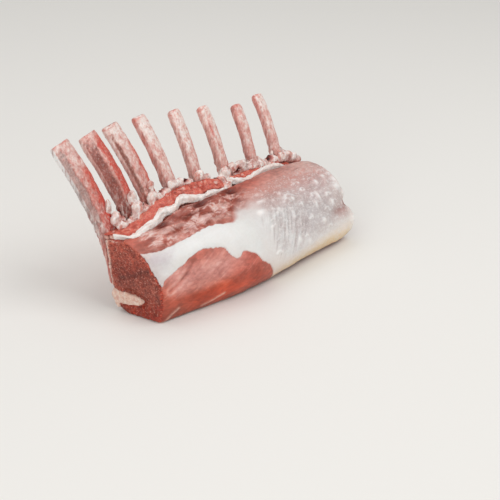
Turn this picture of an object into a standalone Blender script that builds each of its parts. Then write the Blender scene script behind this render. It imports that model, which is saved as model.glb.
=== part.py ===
# Rack of lamb, French trimmed and chined: one side of eight ribs with its loin.
# It rests on its cut chine side. +X runs along the rack from the shoulder end to the
# loin end, -Y is the fat side, and the bare ribs curve up and over towards +Y.
# Sizes are in millimetres until place() turns them into metres.

import math

import bmesh
import bpy
from mathutils import Vector

MM = 0.001
GAP = 0.3                    # clearance that touching pieces keep
MIDDLE = (82.67, 34.6)       # middle of the whole rack, along and across, from the near outer corner

LOIN_LENGTH = 192.0          # shoulder-end cut to loin-end cut
SKEW = 0.27                  # the shoulder-end cut is oblique: run per mm towards the ribs
SKEW_REACH = 40.0            # length over which the oblique cut fades into square sections
STATION_STEP = 6.4           # spacing of the loft's sections

# The fat side at the shoulder-end cut, from the floor up to the top: across, height,
# and how far each point swells outwards and rises where the loin is fullest.
OUTLINE = (
    (2.0, 0.0, 8.0, 0.0),
    (0.8, 7.5, 13.3, 0.0),
    (-0.5, 26.0, 15.5, -6.0),
    (7.0, 38.0, 16.0, -2.0),
    (13.5, 48.0, 10.5, 1.5),
    (24.0, 54.5, 2.5, 3.0),
    (31.0, 58.0, -4.5, 2.8),
)
SWELL = ((0, 0.0), (35, 0.62), (75, 1.0), (115, 0.87), (155, 0.6), (180, 0.5), (192, 0.25))
DROOP = ((0, 0.0), (155, 0.0), (180, 2.0), (192, 6.0))      # the top falls away at the loin end
TUCK = ((0, 0.0), (176, 0.0), (192, 2.6))                   # and the rib side draws in
CREST = ((0, 0.0), (18, 1.4), (40, 2.8), (62, 2.8), (84, 1.4), (105, 0.0), (192, 0.0))  # hump beside the ribs
CREST_SHARES = (0.0, 0.0, 0.0, 0.0, 0.0, 0.45, 1.0)         # how much of the hump each outline point takes
CORE = (24.0, 27.0)          # middle of a section, which layer depths point to

# The rib side: how far across the bones' outer faces lie at each height.
WALL = ((0, 39.5), (8, 41.2), (18, 42.2), (24, 42.7), (42, 44.1), (60, 46.4), (78, 53.4), (98, 63.9), (120, 80.0))
UNDERCUT = ((0, 0.0), (93, 0.0), (110, 4.0), (192, 3.0))    # how far in the foot is, under the cover's lip
FLANK_LINE = ((0, 31.0), (14, 29.2), (26, 30.5), (45, 33.0), (60, 34.0), (76, 34.5), (92, 37.0), (115, 39.0),
              (135, 40.5), (165, 39.0), (192, 38.0))
LEDGE_DEPTH = 3.0            # the strips of cut flank sit this deep in the top
LEDGE_EDGE = 45.6            # where the ledge meets the rib side

# Fat cover: its lower and upper edge as shares of the girth from floor to top.
COVER_START = 3.0
COVER_LOW = ((0, 0.41), (10, 0.475), (22, 0.535), (38, 0.58), (52, 0.55), (61, 0.43), (72, 0.42), (82, 0.33),
             (92, 0.2), (99, 0.07), (192, 0.06))
COVER_HIGH = ((0, 0.79), (12, 0.735), (58, 0.735), (72, 0.7), (80, 0.75), (86, 0.85), (103, 0.9), (125, 0.83),
              (192, 0.9))
COVER_DEPTHS = (0.7, 1.5, 2.1, 2.4, 2.4, 2.4, 2.1, 1.5, 0.7)  # across the cover, edge to edge
COVER_FADE = 14.0            # it thickens over this length from its start
COVER_MARGIN = 0.022         # share of the girth over which the loin steps down beside it

# Fat seam between the eye muscle and the strap muscle below it: its slot in the loin.
SEAM_SLOT = ((29.0, 16.8), (18.4, 16.3), (15.2, 12.3), (18.6, 8.3), (26.5, 7.4), (34.0, 5.4), (36.4, 1.5))
SEAM_MOUTH = 17.8            # height of the slot's mouth in the rib side
SEAM_BODY = 5                # the first points of the slot go round the seam's thick body
SEAM_BODY_EDGE = 30.5        # points farther across than this belong to its leg
SEAM_FACE = (3.4, 8.0, 13.0)  # heights of the seam's points on the rib side
SEAM_TOE = 1.4               # the seam's lowest point is drawn in by this
TOE = 36.6                   # where the rib side meets the floor
WALL_SHARES = (0.9, 0.6, 0.3, 0.0)   # the loin's points on the rib side, from the ledge to the seam
WALL_DROP = 1.5              # the highest of them lies below the ledge by about this

# Ribs: place along the rack at the loin's top and at the tip, tip height, width, depth,
# and how many degrees the sawn tip rises towards the loin end.
RIBS = (
    (-4.5, -19.4, 119.0, 17.0, 6.6, 17.0),
    (19.0, 4.0, 119.0, 16.2, 6.8, 16.0),
    (38.0, 25.0, 119.6, 14.4, 6.6, 10.0),
    (57.5, 50.9, 119.5, 11.6, 6.9, 4.0),
    (79.5, 82.0, 117.0, 10.2, 6.8, 2.0),
    (106.5, 107.9, 113.6, 10.0, 6.6, 2.0),
    (134.5, 138.3, 107.8, 9.4, 6.4, -6.0),
    (161.0, 161.6, 109.5, 9.7, 6.0, -10.0),
)
RIB_FOOT = 18.4              # height of the ribs' sawn lower ends
RIB_BEND = 40.0              # height above which a rib leans along the rack
RIB_LEAN = 1.3               # how late the lean comes on
RIB_WIDTHS = ((18, 0.58), (34, 0.72), (54, 0.84), (74, 0.94), (96, 1.0), (120, 1.03))   # shares, by height
RIB_DEPTHS = ((18, 0.45), (34, 0.72), (54, 1.0), (120, 1.0))
RIB_SECTIONS = 12
RIB_SIDES = 10
RIB_SQUARENESS = 3.4         # superellipse power of a rib's section
TIP_ROUND = 1.1              # length and inset of the rounded tip
TIP_REACH = 24.0             # length over which a rib turns to the slope of its tip

# Meat and fat between the ribs.
PANEL_DEPTH = 4.6
PANEL_FOOT = 19.0
PANEL_MID = 63.5             # height of its hollow top, half way between two ribs
PANEL_HORN = 6.0             # how much higher it climbs beside the ribs
PANEL_HORN_POWER = 2.2       # how closely the horns hug the ribs
PANEL_END = 184.0            # where the last panel stops
PANEL_END_DROP = 13.0        # the last panel's top falls by this
PANEL_END_THIN = 0.6         # and it loses this share of its depth
PANEL_TOP_THIN = 0.5         # every panel's top thins by this share
PANEL_TOP_ROUND = (0.8, 1.2)  # and its outer and inner edge fall by this
PANEL_TOP_POWER = 6          # how late towards the top both come on
PANEL_STEPS = (0.0, 0.14, 0.32, 0.5, 0.68, 0.86, 1.0)
PANEL_LEVELS = (0.0, 0.3, 0.6, 0.85, 1.0)

# Strips of cut flank on the top, along the ribs: start, end, fat width, muscle height.
FLANKS = {"near": (0.0, 97.0, 4.4, 7.6), "far": (103.0, 166.0, 2.4, 3.6)}
FLANK_STEP = 6.5             # spacing of the strips' sections
FLANK_WAVE = 0.4             # the fat line swells and narrows by this share of its width
FLANK_PITCH = 22.0           # length of one swell
FLANK_PHASE = 29.5           # where a swell begins
FLANK_FAT_HEIGHT = 2.4       # the fat stands this far above the top
FLANK_EDGE = 0.9             # its front edge is lower than its crown by this
FLANK_BEVEL = 0.7            # and its crown set back by this
FLANK_ENDS_THIN = 0.45       # share by which a strip thins at its ends
FLANK_ENDS_POWER = 6         # how late towards the ends that comes on
FLANK_BROW = (1.6, 0.5)      # the muscle's low front edge: how far in and how far up from the fat
FLANK_BACK = (1.2, 1.4)      # its back edge: clearance from the ribs, and the fall from the crown
FLANK_CROWN = (1.0, 0.3)     # its crown: how far short of its neighbours it keeps, and its fall to the back

LOOKS = {                    # colour, roughness
    "lean": ((0.30, 0.058, 0.042, 1.0), 0.42),
    "fat": ((0.79, 0.74, 0.70, 1.0), 0.36),
    "bone": ((0.66, 0.42, 0.36, 1.0), 0.5),
    "tissue": ((0.60, 0.33, 0.27, 1.0), 0.45),
}


def between(table, at):
    """Read a table of (place, value) rows through a curve that never overshoots its rows."""
    places = [row[0] for row in table]
    values = [row[1] for row in table]
    if at <= places[0]:
        return values[0]
    if at >= places[-1]:
        return values[-1]
    slopes = [(values[i + 1] - values[i]) / (places[i + 1] - places[i]) for i in range(len(table) - 1)]
    tangents = [slopes[0]]
    for before, after in zip(slopes, slopes[1:]):
        flat = before * after <= 0
        tangents.append(0.0 if flat else 2 * before * after / (before + after))
    tangents.append(slopes[-1])
    i = max(k for k in range(len(slopes)) if places[k] <= at)
    run = places[i + 1] - places[i]
    t = (at - places[i]) / run
    return ((2 * t**3 - 3 * t**2 + 1) * values[i] + (t**3 - 2 * t**2 + t) * run * tangents[i]
            + (3 * t**2 - 2 * t**3) * values[i + 1] + (t**3 - t**2) * run * tangents[i + 1])


def smooth_line(points, steps=8):
    """Run a centripetal Catmull-Rom curve through the points."""
    ends = [2 * points[0] - points[1]] + points + [2 * points[-1] - points[-2]]
    line = []
    for a, b, c, d in zip(ends, ends[1:], ends[2:], ends[3:]):
        t1 = (b - a).length ** 0.5
        t2 = t1 + (c - b).length ** 0.5
        t3 = t2 + (d - c).length ** 0.5
        for step in range(steps):
            t = t1 + (t2 - t1) * step / steps
            ab = a.lerp(b, t / t1)
            bc = b.lerp(c, (t - t1) / (t2 - t1))
            cd = c.lerp(d, (t - t2) / (t3 - t2))
            line.append(ab.lerp(bc, t / t2).lerp(bc.lerp(cd, (t - t1) / (t3 - t1)), (t - t1) / (t2 - t1)))
    return line + [points[-1]]


def sample(line, shares):
    """Pick points at shares of a line's length."""
    lengths = [0.0]
    for a, b in zip(line, line[1:]):
        lengths.append(lengths[-1] + (b - a).length)
    picked = []
    for share in shares:
        target = min(max(share, 0.0), 1.0) * lengths[-1]
        i = max(k for k in range(len(line) - 1) if lengths[k] <= target)
        picked.append(line[i].lerp(line[i + 1], (target - lengths[i]) / (lengths[i + 1] - lengths[i])))
    return picked


def place(x, y, z):
    """Turn a point in mm, measured from the near outer corner, into the rack's frame in metres."""
    fade = max(0.0, 1.0 - max(x, 0.0) / SKEW_REACH)
    return Vector((x - SKEW * y * fade**2 - MIDDLE[0], y - MIDDLE[1], z)) * MM


def place_square(x, y, z):
    """The same for ribs and the meat between them, which the oblique cut doesn't move."""
    return Vector((x - MIDDLE[0], y - MIDDLE[1], z)) * MM


def material(look):
    found = bpy.data.materials.get(look)
    if found:
        return found
    made = bpy.data.materials.new(look)
    made.use_nodes = True
    shader = made.node_tree.nodes["Principled BSDF"]
    colour, roughness = LOOKS[look]
    shader.inputs["Base Color"].default_value = colour
    shader.inputs["Roughness"].default_value = roughness
    shader.inputs["Metallic"].default_value = 0.0
    made.diffuse_color = colour
    return made


def ladder(bm, loop):
    """Close a long narrow loop rung by rung, from the pair where it starts and ends."""
    last = len(loop) - 1
    for k in range(len(loop) // 2):
        rung = [loop[k], loop[k + 1], loop[last - k - 1], loop[last - k]]
        corners = list(dict.fromkeys(rung))
        if len(corners) > 2:
            bm.faces.new(corners)


def loft(name, rings, look, narrow=True):
    """Skin closed rings of equal count and cap both ends. Each skin square is split along its
    shorter diagonal, so that two layers with matching rings stay parallel."""
    bm = bmesh.new()
    loops = [[bm.verts.new(point) for point in ring] for ring in rings]
    for one, two in zip(loops, loops[1:]):
        for i in range(len(one)):
            j = (i + 1) % len(one)
            bm.faces.new((one[i], one[j], two[j], two[i]))
    for loop in (loops[0], loops[-1]):
        if narrow:
            ladder(bm, loop)
        else:
            bm.faces.new(loop)
    bm.normal_update()
    bmesh.ops.triangulate(bm, faces=bm.faces, quad_method="SHORT_EDGE", ngon_method="EAR_CLIP")
    bmesh.ops.recalc_face_normals(bm, faces=bm.faces)
    mesh = bpy.data.meshes.new(name)
    bm.to_mesh(mesh)
    bm.free()
    mesh.materials.append(material(look))
    mesh.shade_smooth()
    mesh.set_sharp_from_angle(angle=math.radians(45))
    solid = bpy.data.objects.new(name, mesh)
    rack.objects.link(solid)
    return solid


def stations():
    count = round(LOIN_LENGTH / STATION_STEP)
    return [0.0, COVER_START] + [LOIN_LENGTH * i / count for i in range(1, count + 1)]


def fat_side(x):
    """The outline of the fat side at one station, from the floor to the top."""
    swell = between(SWELL, x)
    droop = between(DROOP, x)
    crest = between(CREST, x)
    top = OUTLINE[-1][1]
    points = []
    for (across, height, outward, rise), share in zip(OUTLINE, CREST_SHARES):
        high = height + rise * swell + crest * share
        points.append(Vector((across - outward * swell, high - droop * (height / top) ** 2)))
    points[0].x += between(UNDERCUT, x)
    return smooth_line(points)


def brow(x):
    """The point where the fat side meets the strips of cut flank."""
    edge = between(FLANK_LINE, x) - between(TUCK, x) - GAP
    side = fat_side(x)
    for a, b in zip(side, side[1:]):
        if a.y > CORE[1] and a.x <= edge <= b.x:
            return a.lerp(b, (edge - a.x) / (b.x - a.x))
    return Vector((edge, side[-1].y))


def cover_edges(x):
    return between(COVER_LOW, x), between(COVER_HIGH, x)


def cover_depths(x):
    """How deep the loin lies below the fat side along the rows that the cover spans."""
    if x < COVER_START:
        return [0.0] * len(COVER_DEPTHS)
    fullness = min(1.0, (x - COVER_START) / COVER_FADE)
    edge = COVER_DEPTHS[0]
    return [edge + (depth - edge) * fullness for depth in COVER_DEPTHS]


def cover_rows(x):
    """Points of the fat side under the cover, edge to edge."""
    low, high = cover_edges(x)
    last = len(COVER_DEPTHS) - 1
    return sample(fat_side(x), [low + (high - low) * i / last for i in range(last + 1)])


def sunk(point, depth):
    inward = Vector(CORE) - point
    return point + inward.normalized() * depth


def rib_side(x, z):
    """How far across the rib side lies."""
    return between(WALL, z) - between(TUCK, x)


def ledge_edge(x):
    """How far across the ledge reaches, short of the ribs and the meat between them."""
    return min(LEDGE_EDGE - between(TUCK, x), rib_side(x, brow(x).y - LEDGE_DEPTH) - GAP)


def seam_line(x, inset):
    """The slot of the fat seam, or the seam itself where it's inset by the clearance."""
    tuck = between(TUCK, x)
    body = SEAM_SLOT[:SEAM_BODY]
    middle = Vector((sum(p[0] for p in body), sum(p[1] for p in body))) / SEAM_BODY
    line = []
    for across, high in SEAM_SLOT:
        point = Vector((across, high))
        if across < SEAM_BODY_EDGE:
            point += (middle - point).normalized() * inset
        else:
            point += Vector((inset, inset))
        line.append(Vector((point.x - tuck, point.y)))
    return line


def loin():
    rings = []
    for x in stations():
        low, high = cover_edges(x)
        side = fat_side(x)
        under = low - COVER_MARGIN
        over = high + COVER_MARGIN
        ring = sample(side, [0.0, under / 3, under * 2 / 3, under])
        ring += [sunk(point, depth) for point, depth in zip(cover_rows(x), cover_depths(x))]
        ring += sample(side, [over, (over + 1) / 2])
        corner = brow(x)
        ledge = corner.y - LEDGE_DEPTH
        ring += [corner, Vector((corner.x + GAP, ledge)), Vector((ledge_edge(x), ledge))]
        for share in WALL_SHARES:
            up = SEAM_MOUTH + (ledge - WALL_DROP - SEAM_MOUTH) * share
            ring.append(Vector((rib_side(x, up) - GAP, up)))
        ring += seam_line(x, 0.0)
        ring += [Vector((TOE - between(TUCK, x), 0.0)), Vector((CORE[0], 0.0))]
        rings.append([place(x, p.x, p.y) for p in ring])
    return loft("loin", rings, "lean", narrow=False)


def fat_seam():
    rings = []
    for x in stations():
        inner = seam_line(x, GAP)
        outer = [Vector((rib_side(x, z) - GAP, z)) for z in (*SEAM_FACE, SEAM_MOUTH - GAP)]
        outer[0].x -= SEAM_TOE
        rings.append([place(x, p.x, p.y) for p in inner + outer])
    return loft("fat_seam", rings, "fat", narrow=False)


def fat_cover():
    rings = []
    for x in stations()[1:]:
        rows = cover_rows(x)
        inner = [sunk(point, depth - GAP) for point, depth in zip(rows, cover_depths(x))]
        rings.append([place(x, p.x, p.y) for p in inner + rows[::-1]])
    return loft("fat_cover", rings, "fat")


def rib_place(index, z):
    """Where a rib's middle lies along the rack at one height."""
    base, tip, height = RIBS[index][:3]
    lean = min(max((z - RIB_BEND) / (height - RIB_BEND), 0.0), 1.0) ** RIB_LEAN
    return base + (tip - base) * lean


def rib_width(index, z):
    return RIBS[index][3] * between(RIB_WIDTHS, z)


def squared(value):
    """A circle's cosine or sine, pushed out to the squarer section of a rib."""
    return math.copysign(abs(value) ** (2 / RIB_SQUARENESS), value)


def rib(index):
    height, _, depth_above, cant = RIBS[index][2:]
    levels = [RIB_FOOT + (height - TIP_ROUND - RIB_FOOT) * i / (RIB_SECTIONS - 2) for i in range(RIB_SECTIONS - 1)]
    levels.append(height)
    rings = []
    for z in levels:
        face = Vector((rib_place(index, z), between(WALL, z), z))
        ahead = Vector((rib_place(index, z + 1), between(WALL, z + 1), z + 1))
        along = (ahead - face).normalized()
        side = (Vector((1, 0, 0)) - along * along.x).normalized()
        inward = along.cross(side)
        turn = math.radians(cant) * max(0.0, 1 - (height - z) / TIP_REACH)
        side = side * math.cos(turn) + along * math.sin(turn)
        inset = TIP_ROUND if z == height else 0.0
        width = rib_width(index, z)
        depth = depth_above * between(RIB_DEPTHS, z)
        middle = face + inward * depth / 2
        ring = []
        for k in range(RIB_SIDES):
            round_way = 2 * math.pi * (k + 0.5) / RIB_SIDES
            a, b = squared(math.cos(round_way)), squared(math.sin(round_way))
            point = middle + side * a * (width / 2 - inset) + inward * b * (depth / 2 - inset)
            ring.append(place_square(*point))
        rings.append(ring)
    return loft(f"rib_{index + 1}", rings, "bone")


def panel(index):
    """The meat and fat between one rib and the next, or after the last rib."""
    last = index == len(RIBS) - 1

    def left(z):
        return rib_place(index, z) + rib_width(index, z) / 2 + GAP

    def right(z):
        return PANEL_END if last else rib_place(index + 1, z) - rib_width(index + 1, z) / 2 - GAP

    rings = []
    for share in PANEL_STEPS:
        horn = abs(2 * share - 1) ** PANEL_HORN_POWER
        if last:
            horn *= 1 - share
        top = PANEL_MID + PANEL_HORN * horn
        if last:
            top -= PANEL_END_DROP * share**2
        outer = []
        inner = []
        for level in PANEL_LEVELS:
            z = PANEL_FOOT + (top - PANEL_FOOT) * level
            x = left(z) + (right(z) - left(z)) * share
            face = rib_side(x, z)
            late = level**PANEL_TOP_POWER
            depth = PANEL_DEPTH * (1 - PANEL_TOP_THIN * late)
            if last:
                depth *= 1 - PANEL_END_THIN * share**2
            outer.append(place_square(x, face, z - PANEL_TOP_ROUND[0] * late))
            inner.append(place_square(x, face + depth, z - PANEL_TOP_ROUND[1] * late))
            if level == 1.0:
                outer.append(place_square(x, face + depth / 2, z))
        rings.append(outer + inner[::-1])
    return loft(f"intercostal_{index + 1}", rings, "tissue")


def flank(part, fat):
    """A strip of cut flank: its white fat line, or the muscle between that and the ribs."""
    start, end, width, height = FLANKS[part]
    count = round((end - start) / FLANK_STEP)
    rings = []
    for i in range(count + 1):
        x = start + (end - start) * i / count
        corner = brow(x)
        top = corner.y
        thin = 1 - FLANK_ENDS_THIN * (2 * i / count - 1) ** FLANK_ENDS_POWER
        foot = top - LEDGE_DEPTH + GAP
        near = corner.x + 2 * GAP
        swell = 1 + FLANK_WAVE * math.sin(2 * math.pi * (x - FLANK_PHASE) / FLANK_PITCH)
        split = near + width * thin * swell
        low = top + FLANK_FAT_HEIGHT * thin
        if fat:
            ring = [(near, foot), (near, low - FLANK_EDGE), (near + FLANK_BEVEL, low), (split - GAP, low + GAP),
                    (split, foot)]
        else:
            high = top + height * thin
            clearance, back_fall = FLANK_BACK
            short, crown_fall = FLANK_CROWN
            back = rib_side(x, high - back_fall) - clearance
            ring = [(split + GAP, foot), (split + GAP, low), (split + FLANK_BROW[0], low + FLANK_BROW[1]),
                    ((split + back) / 2 + short, high), (back - short, high - crown_fall), (back, high - back_fall),
                    (ledge_edge(x), foot)]
        rings.append([place(x, y, z) for y, z in ring])
    kind = "fat" if fat else "muscle"
    return loft(f"flank_{kind}_{part}", rings, "fat" if fat else "lean")


for old in list(bpy.data.objects):
    bpy.data.objects.remove(old, do_unlink=True)
rack = bpy.data.collections.new("rack_of_lamb")
bpy.context.scene.collection.children.link(rack)

loin()
fat_seam()
fat_cover()
for number in range(len(RIBS)):
    rib(number)
    panel(number)
for strip in FLANKS:
    flank(strip, fat=True)
    flank(strip, fat=False)
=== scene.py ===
import math

import bmesh
import bpy
import numpy as np
from mathutils import Matrix, Vector, noise


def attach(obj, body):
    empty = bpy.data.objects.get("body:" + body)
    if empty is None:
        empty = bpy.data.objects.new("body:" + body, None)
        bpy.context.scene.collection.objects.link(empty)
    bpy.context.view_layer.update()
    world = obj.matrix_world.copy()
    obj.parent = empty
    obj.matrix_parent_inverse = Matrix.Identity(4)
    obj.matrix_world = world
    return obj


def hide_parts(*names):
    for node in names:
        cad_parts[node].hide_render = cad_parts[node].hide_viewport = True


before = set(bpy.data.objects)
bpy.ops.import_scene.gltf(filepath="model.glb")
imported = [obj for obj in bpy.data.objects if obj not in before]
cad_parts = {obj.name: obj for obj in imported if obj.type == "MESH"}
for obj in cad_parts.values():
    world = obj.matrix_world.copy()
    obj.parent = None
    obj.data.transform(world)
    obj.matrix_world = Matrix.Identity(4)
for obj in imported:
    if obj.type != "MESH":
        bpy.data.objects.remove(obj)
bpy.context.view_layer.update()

# Raw French-trimmed rack of lamb: one side of eight ribs with its loin, lying on its cut
# chine side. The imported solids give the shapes, and this script dresses them: every piece
# is a fine copy of its solid with the relief of meat, fat and scraped bone on it.
# Lengths in the dictionaries are millimetres, and a "turn" is an angle in degrees round
# the loin, from below 0 at the floor on the fat side to 90 at the top beside the ribs.

mm = 0.001

rack = {
    "corner": (-82.67, -34.6),     # near outer corner, which along and across are measured from
    "skew": 0.27,                 # the near end is cut obliquely: run per mm towards the ribs
    "skewReach": 40.0,            # length over which that fades into square sections
    "skewPasses": 12,             # passes that find where a point lies along, with the skew taken out
    "length": 192.0,              # from the near cut to the far cut
    "heart": (30.0, 12.0),        # across and up of the point that turns are taken round
    "degree": 0.55,               # mm that one degree of turn is worth over the surface, roughly
    "inward": 0.45,               # normals that lean to the ribs by more than this are on the inner side
    # up, and how far across the rib side lies there
    "ribSide": ((0, 39.5), (8, 41.2), (18, 42.2), (24, 42.7), (42, 44.1), (60, 46.4), (78, 53.4),
                (98, 63.9)),
}


def srgb(text):
    return [int(text[i:i + 2], 16) / 255 for i in (1, 3, 5)]


def toLinear(values):
    values = np.asarray(values, float)
    return np.where(values <= 0.04045, values / 12.92, ((values + 0.055) / 1.055) ** 2.4)


def linearColour(text):
    return (*toLinear(srgb(text)), 1.0)


def ramp(low, high, values):
    share = np.clip((values - low) / (high - low), 0, 1)
    return share * share * (3 - 2 * share)


def window(values, places):
    # begins and is full at the first two places, fades and ends at the last two
    begin, full, last, end = places
    return ramp(begin, full, values) * ramp(end, last, values)


def bell(away, width):
    return np.exp(-(away / width)**2)


def readRows(rows, at):
    # a curve through (place, value) rows that never overshoots them
    places = np.array([row[0] for row in rows], float)
    values = np.array([row[1] for row in rows], float)
    slopes = np.diff(values) / np.diff(places)
    before, after = slopes[:-1], slopes[1:]
    turning = before * after <= 0
    inner = np.where(turning, 0, 2 * before * after / np.where(turning, 1, before + after))
    tangents = np.concatenate([slopes[:1], inner, slopes[-1:]])
    at = np.clip(at, places[0], places[-1])
    i = np.clip(np.searchsorted(places, at, side="right") - 1, 0, len(slopes) - 1)
    run = places[i + 1] - places[i]
    t = (at - places[i]) / run
    return ((2 * t**3 - 3 * t**2 + 1) * values[i] + (t**3 - 2 * t**2 + t) * run * tangents[i]
            + (3 * t**2 - 2 * t**3) * values[i + 1] + (t**3 - t**2) * run * tangents[i + 1])


def lumps(spots, size, octaves=2, shift=0.0):
    # fractal noise, about -1 to 1; size is the width of one lump in mm, one number or one per axis
    scaled = np.asarray(spots) / np.asarray(size) + shift
    return np.array([noise.fractal(spot, 1.0, 2.0, octaves) for spot in scaled.tolist()])


# ---- meshes

def newPiece(name, mesh, material, replaced=()):
    piece = bpy.data.objects.new(name, mesh)
    bpy.context.scene.collection.objects.link(piece)
    mesh.name = name
    mesh.materials.clear()
    mesh.materials.append(material)
    mesh.shade_smooth()
    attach(piece, "root")
    if replaced:
        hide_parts(*replaced)
    return piece


def keepLargest(bm):
    # inner leftovers of a remesh are dropped
    left = set(bm.verts)
    best = []
    while left:
        group = [left.pop()]
        for vert in group:
            for edge in vert.link_edges:
                other = edge.other_vert(vert)
                if other in left:
                    left.remove(other)
                    group.append(other)
        if len(group) > len(best):
            best = group
    kept = set(best)
    bmesh.ops.delete(bm, geom=[vert for vert in bm.verts if vert not in kept], context="VERTS")


fineValues = {
    "flatAngle": 25, "shapeAngle": 50,      # triangles are joined into quads up to these angles
    "sharpAngle": 50, "sharpness": 0.6,     # edges sharper than this keep this much of their crease
    "levels": 2,                            # times that a solid is subdivided before it is remeshed
}


def fineCopy(nodeNames, values, extra=None):
    # the solids, and any extra lumps, as one skin: merged, subdivided, swollen until they meet,
    # remeshed and rounded
    v = {**fineValues, **values}
    bm = bmesh.new()
    for name in nodeNames:
        bm.from_mesh(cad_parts[name].data)
    bmesh.ops.remove_doubles(bm, verts=bm.verts, dist=0.001 * mm)
    bmesh.ops.join_triangles(
        bm, faces=bm.faces, angle_face_threshold=math.radians(v["flatAngle"]),
        angle_shape_threshold=math.radians(v["shapeAngle"]))
    crease = bm.edges.layers.float.new("crease_edge")
    for edge in bm.edges:
        if len(edge.link_faces) == 2 and edge.calc_face_angle(0) > math.radians(v["sharpAngle"]):
            edge[crease] = v["sharpness"]
    bm.normal_update()
    for vert in bm.verts:
        vert.co += vert.normal * v["swell"] * mm
    mesh = bpy.data.meshes.new("draft")
    if extra:
        extra.to_mesh(mesh)
        extra.free()
        bm.from_mesh(mesh)
    bm.to_mesh(mesh)
    bm.free()
    draft = bpy.data.objects.new("draft", mesh)
    bpy.context.scene.collection.objects.link(draft)
    smooth = draft.modifiers.new("smooth", "SUBSURF")
    smooth.levels = v["levels"]
    smooth.render_levels = v["levels"]
    skin = draft.modifiers.new("skin", "REMESH")
    skin.mode = "VOXEL"
    skin.voxel_size = v["voxel"] * mm
    made = bpy.data.meshes.new_from_object(draft.evaluated_get(bpy.context.evaluated_depsgraph_get()))
    bpy.data.objects.remove(draft)
    bpy.data.meshes.remove(mesh)
    bm = bmesh.new()
    bm.from_mesh(made)
    keepLargest(bm)
    for _ in range(v["rounding"]):
        bmesh.ops.smooth_vert(
            bm, verts=bm.verts, factor=0.5, use_axis_x=True, use_axis_y=True, use_axis_z=True)
    bmesh.ops.recalc_face_normals(bm, faces=bm.faces)
    bm.to_mesh(made)
    bm.free()
    return made


def readMesh(mesh):
    # vertex places and normals, places in mm
    spots = np.empty(len(mesh.vertices) * 3)
    mesh.vertices.foreach_get("co", spots)
    normals = np.empty(len(mesh.vertices) * 3)
    mesh.vertex_normals.foreach_get("vector", normals)
    return spots.reshape(-1, 3) / mm, normals.reshape(-1, 3)


def writeMesh(mesh, spots):
    mesh.vertices.foreach_set("co", (spots * mm).ravel())
    mesh.update()


def paintFlesh(mesh, tint, flecks, film, blood):
    # the linear colour of each vertex, and the three masks that the materials read
    masks = np.zeros_like(tint)
    for k, mask in enumerate((flecks, film, blood)):
        masks[:, k] = mask
    for name, values in (("tint", tint), ("masks", masks)):
        layer = mesh.color_attributes.get(name) or mesh.color_attributes.new(name, "FLOAT_COLOR", "POINT")
        rows = np.ones((len(mesh.vertices), 4))
        rows[:, :3] = values
        layer.data.foreach_set("color", rows.ravel())


class Section:
    # where points lie in the rack's own measure
    def __init__(self, spots):
        raw = spots[:, 0] - rack["corner"][0]
        self.across = spots[:, 1] - rack["corner"][1]
        self.up = spots[:, 2]
        self.along = raw.copy()
        for _ in range(rack["skewPasses"]):
            fade = np.clip(1 - np.maximum(self.along, 0) / rack["skewReach"], 0, 1)
            self.along = raw + rack["skew"] * self.across * fade**2
        out = rack["heart"][0] - self.across
        rise = self.up - rack["heart"][1]
        self.turn = np.degrees(np.arctan2(rise, out))
        self.reach = np.hypot(out, rise)
        self.wall = readRows(rack["ribSide"], self.up)

    def arc(self, turn):
        # mm round the loin from the given turn
        return np.radians(self.turn - turn) * self.reach

    def away(self, along, turn, length, width):
        # distance from a place, 1 at the edge of an oval of the given half sizes
        return np.hypot((self.along - along) / length, self.arc(turn) / width)

    def unrolled(self, slant=0.0, rise=0.0):
        # the surface laid flat, for noise that runs aslant over it
        over = self.arc(0)
        return np.stack([self.along + over * slant, over + self.along * rise, 0 * over], 1)


def gradient(rows, section):
    # colours from rows of (along, ((turn, colour), ...))
    tables = []
    for _, stops in rows:
        turns = [stop[0] for stop in stops]
        shades = np.array([srgb(stop[1]) for stop in stops])
        tables.append(np.stack([np.interp(section.turn, turns, shades[:, k]) for k in range(3)], 1))
    places = np.array([row[0] for row in rows], float)
    at = np.clip(section.along, places[0], places[-1])
    i = np.clip(np.searchsorted(places, at, side="right") - 1, 0, len(places) - 2)
    share = ramp(0, 1, (at - places[i]) / (places[i + 1] - places[i]))[:, None]
    stack = np.stack(tables)
    each = np.arange(len(at))
    return stack[i, each] * (1 - share) + stack[i + 1, each] * share


def plain(shade, spots):
    return np.tile(srgb(shade), (len(spots), 1))


def tinted(colours, shade, share):
    return colours + (np.array(srgb(shade)) - colours) * np.asarray(share)[:, None]


def layered(colours, shades, **shares):
    # shades laid one over the next, each by its share at every point times its own strength
    for name, share in shares.items():
        shade, strength = shades[name]
        colours = tinted(colours, shade, share * strength)
    return colours


# ---- materials

def addNode(tree, kind, inputs=None, **settings):
    node = tree.nodes.new("ShaderNode" + kind)
    for name, value in settings.items():
        setattr(node, name, value)
    for key, value in (inputs or {}).items():
        if isinstance(value, bpy.types.NodeSocket):
            tree.links.new(value, node.inputs[key])
        else:
            node.inputs[key].default_value = value
    return node


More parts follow.
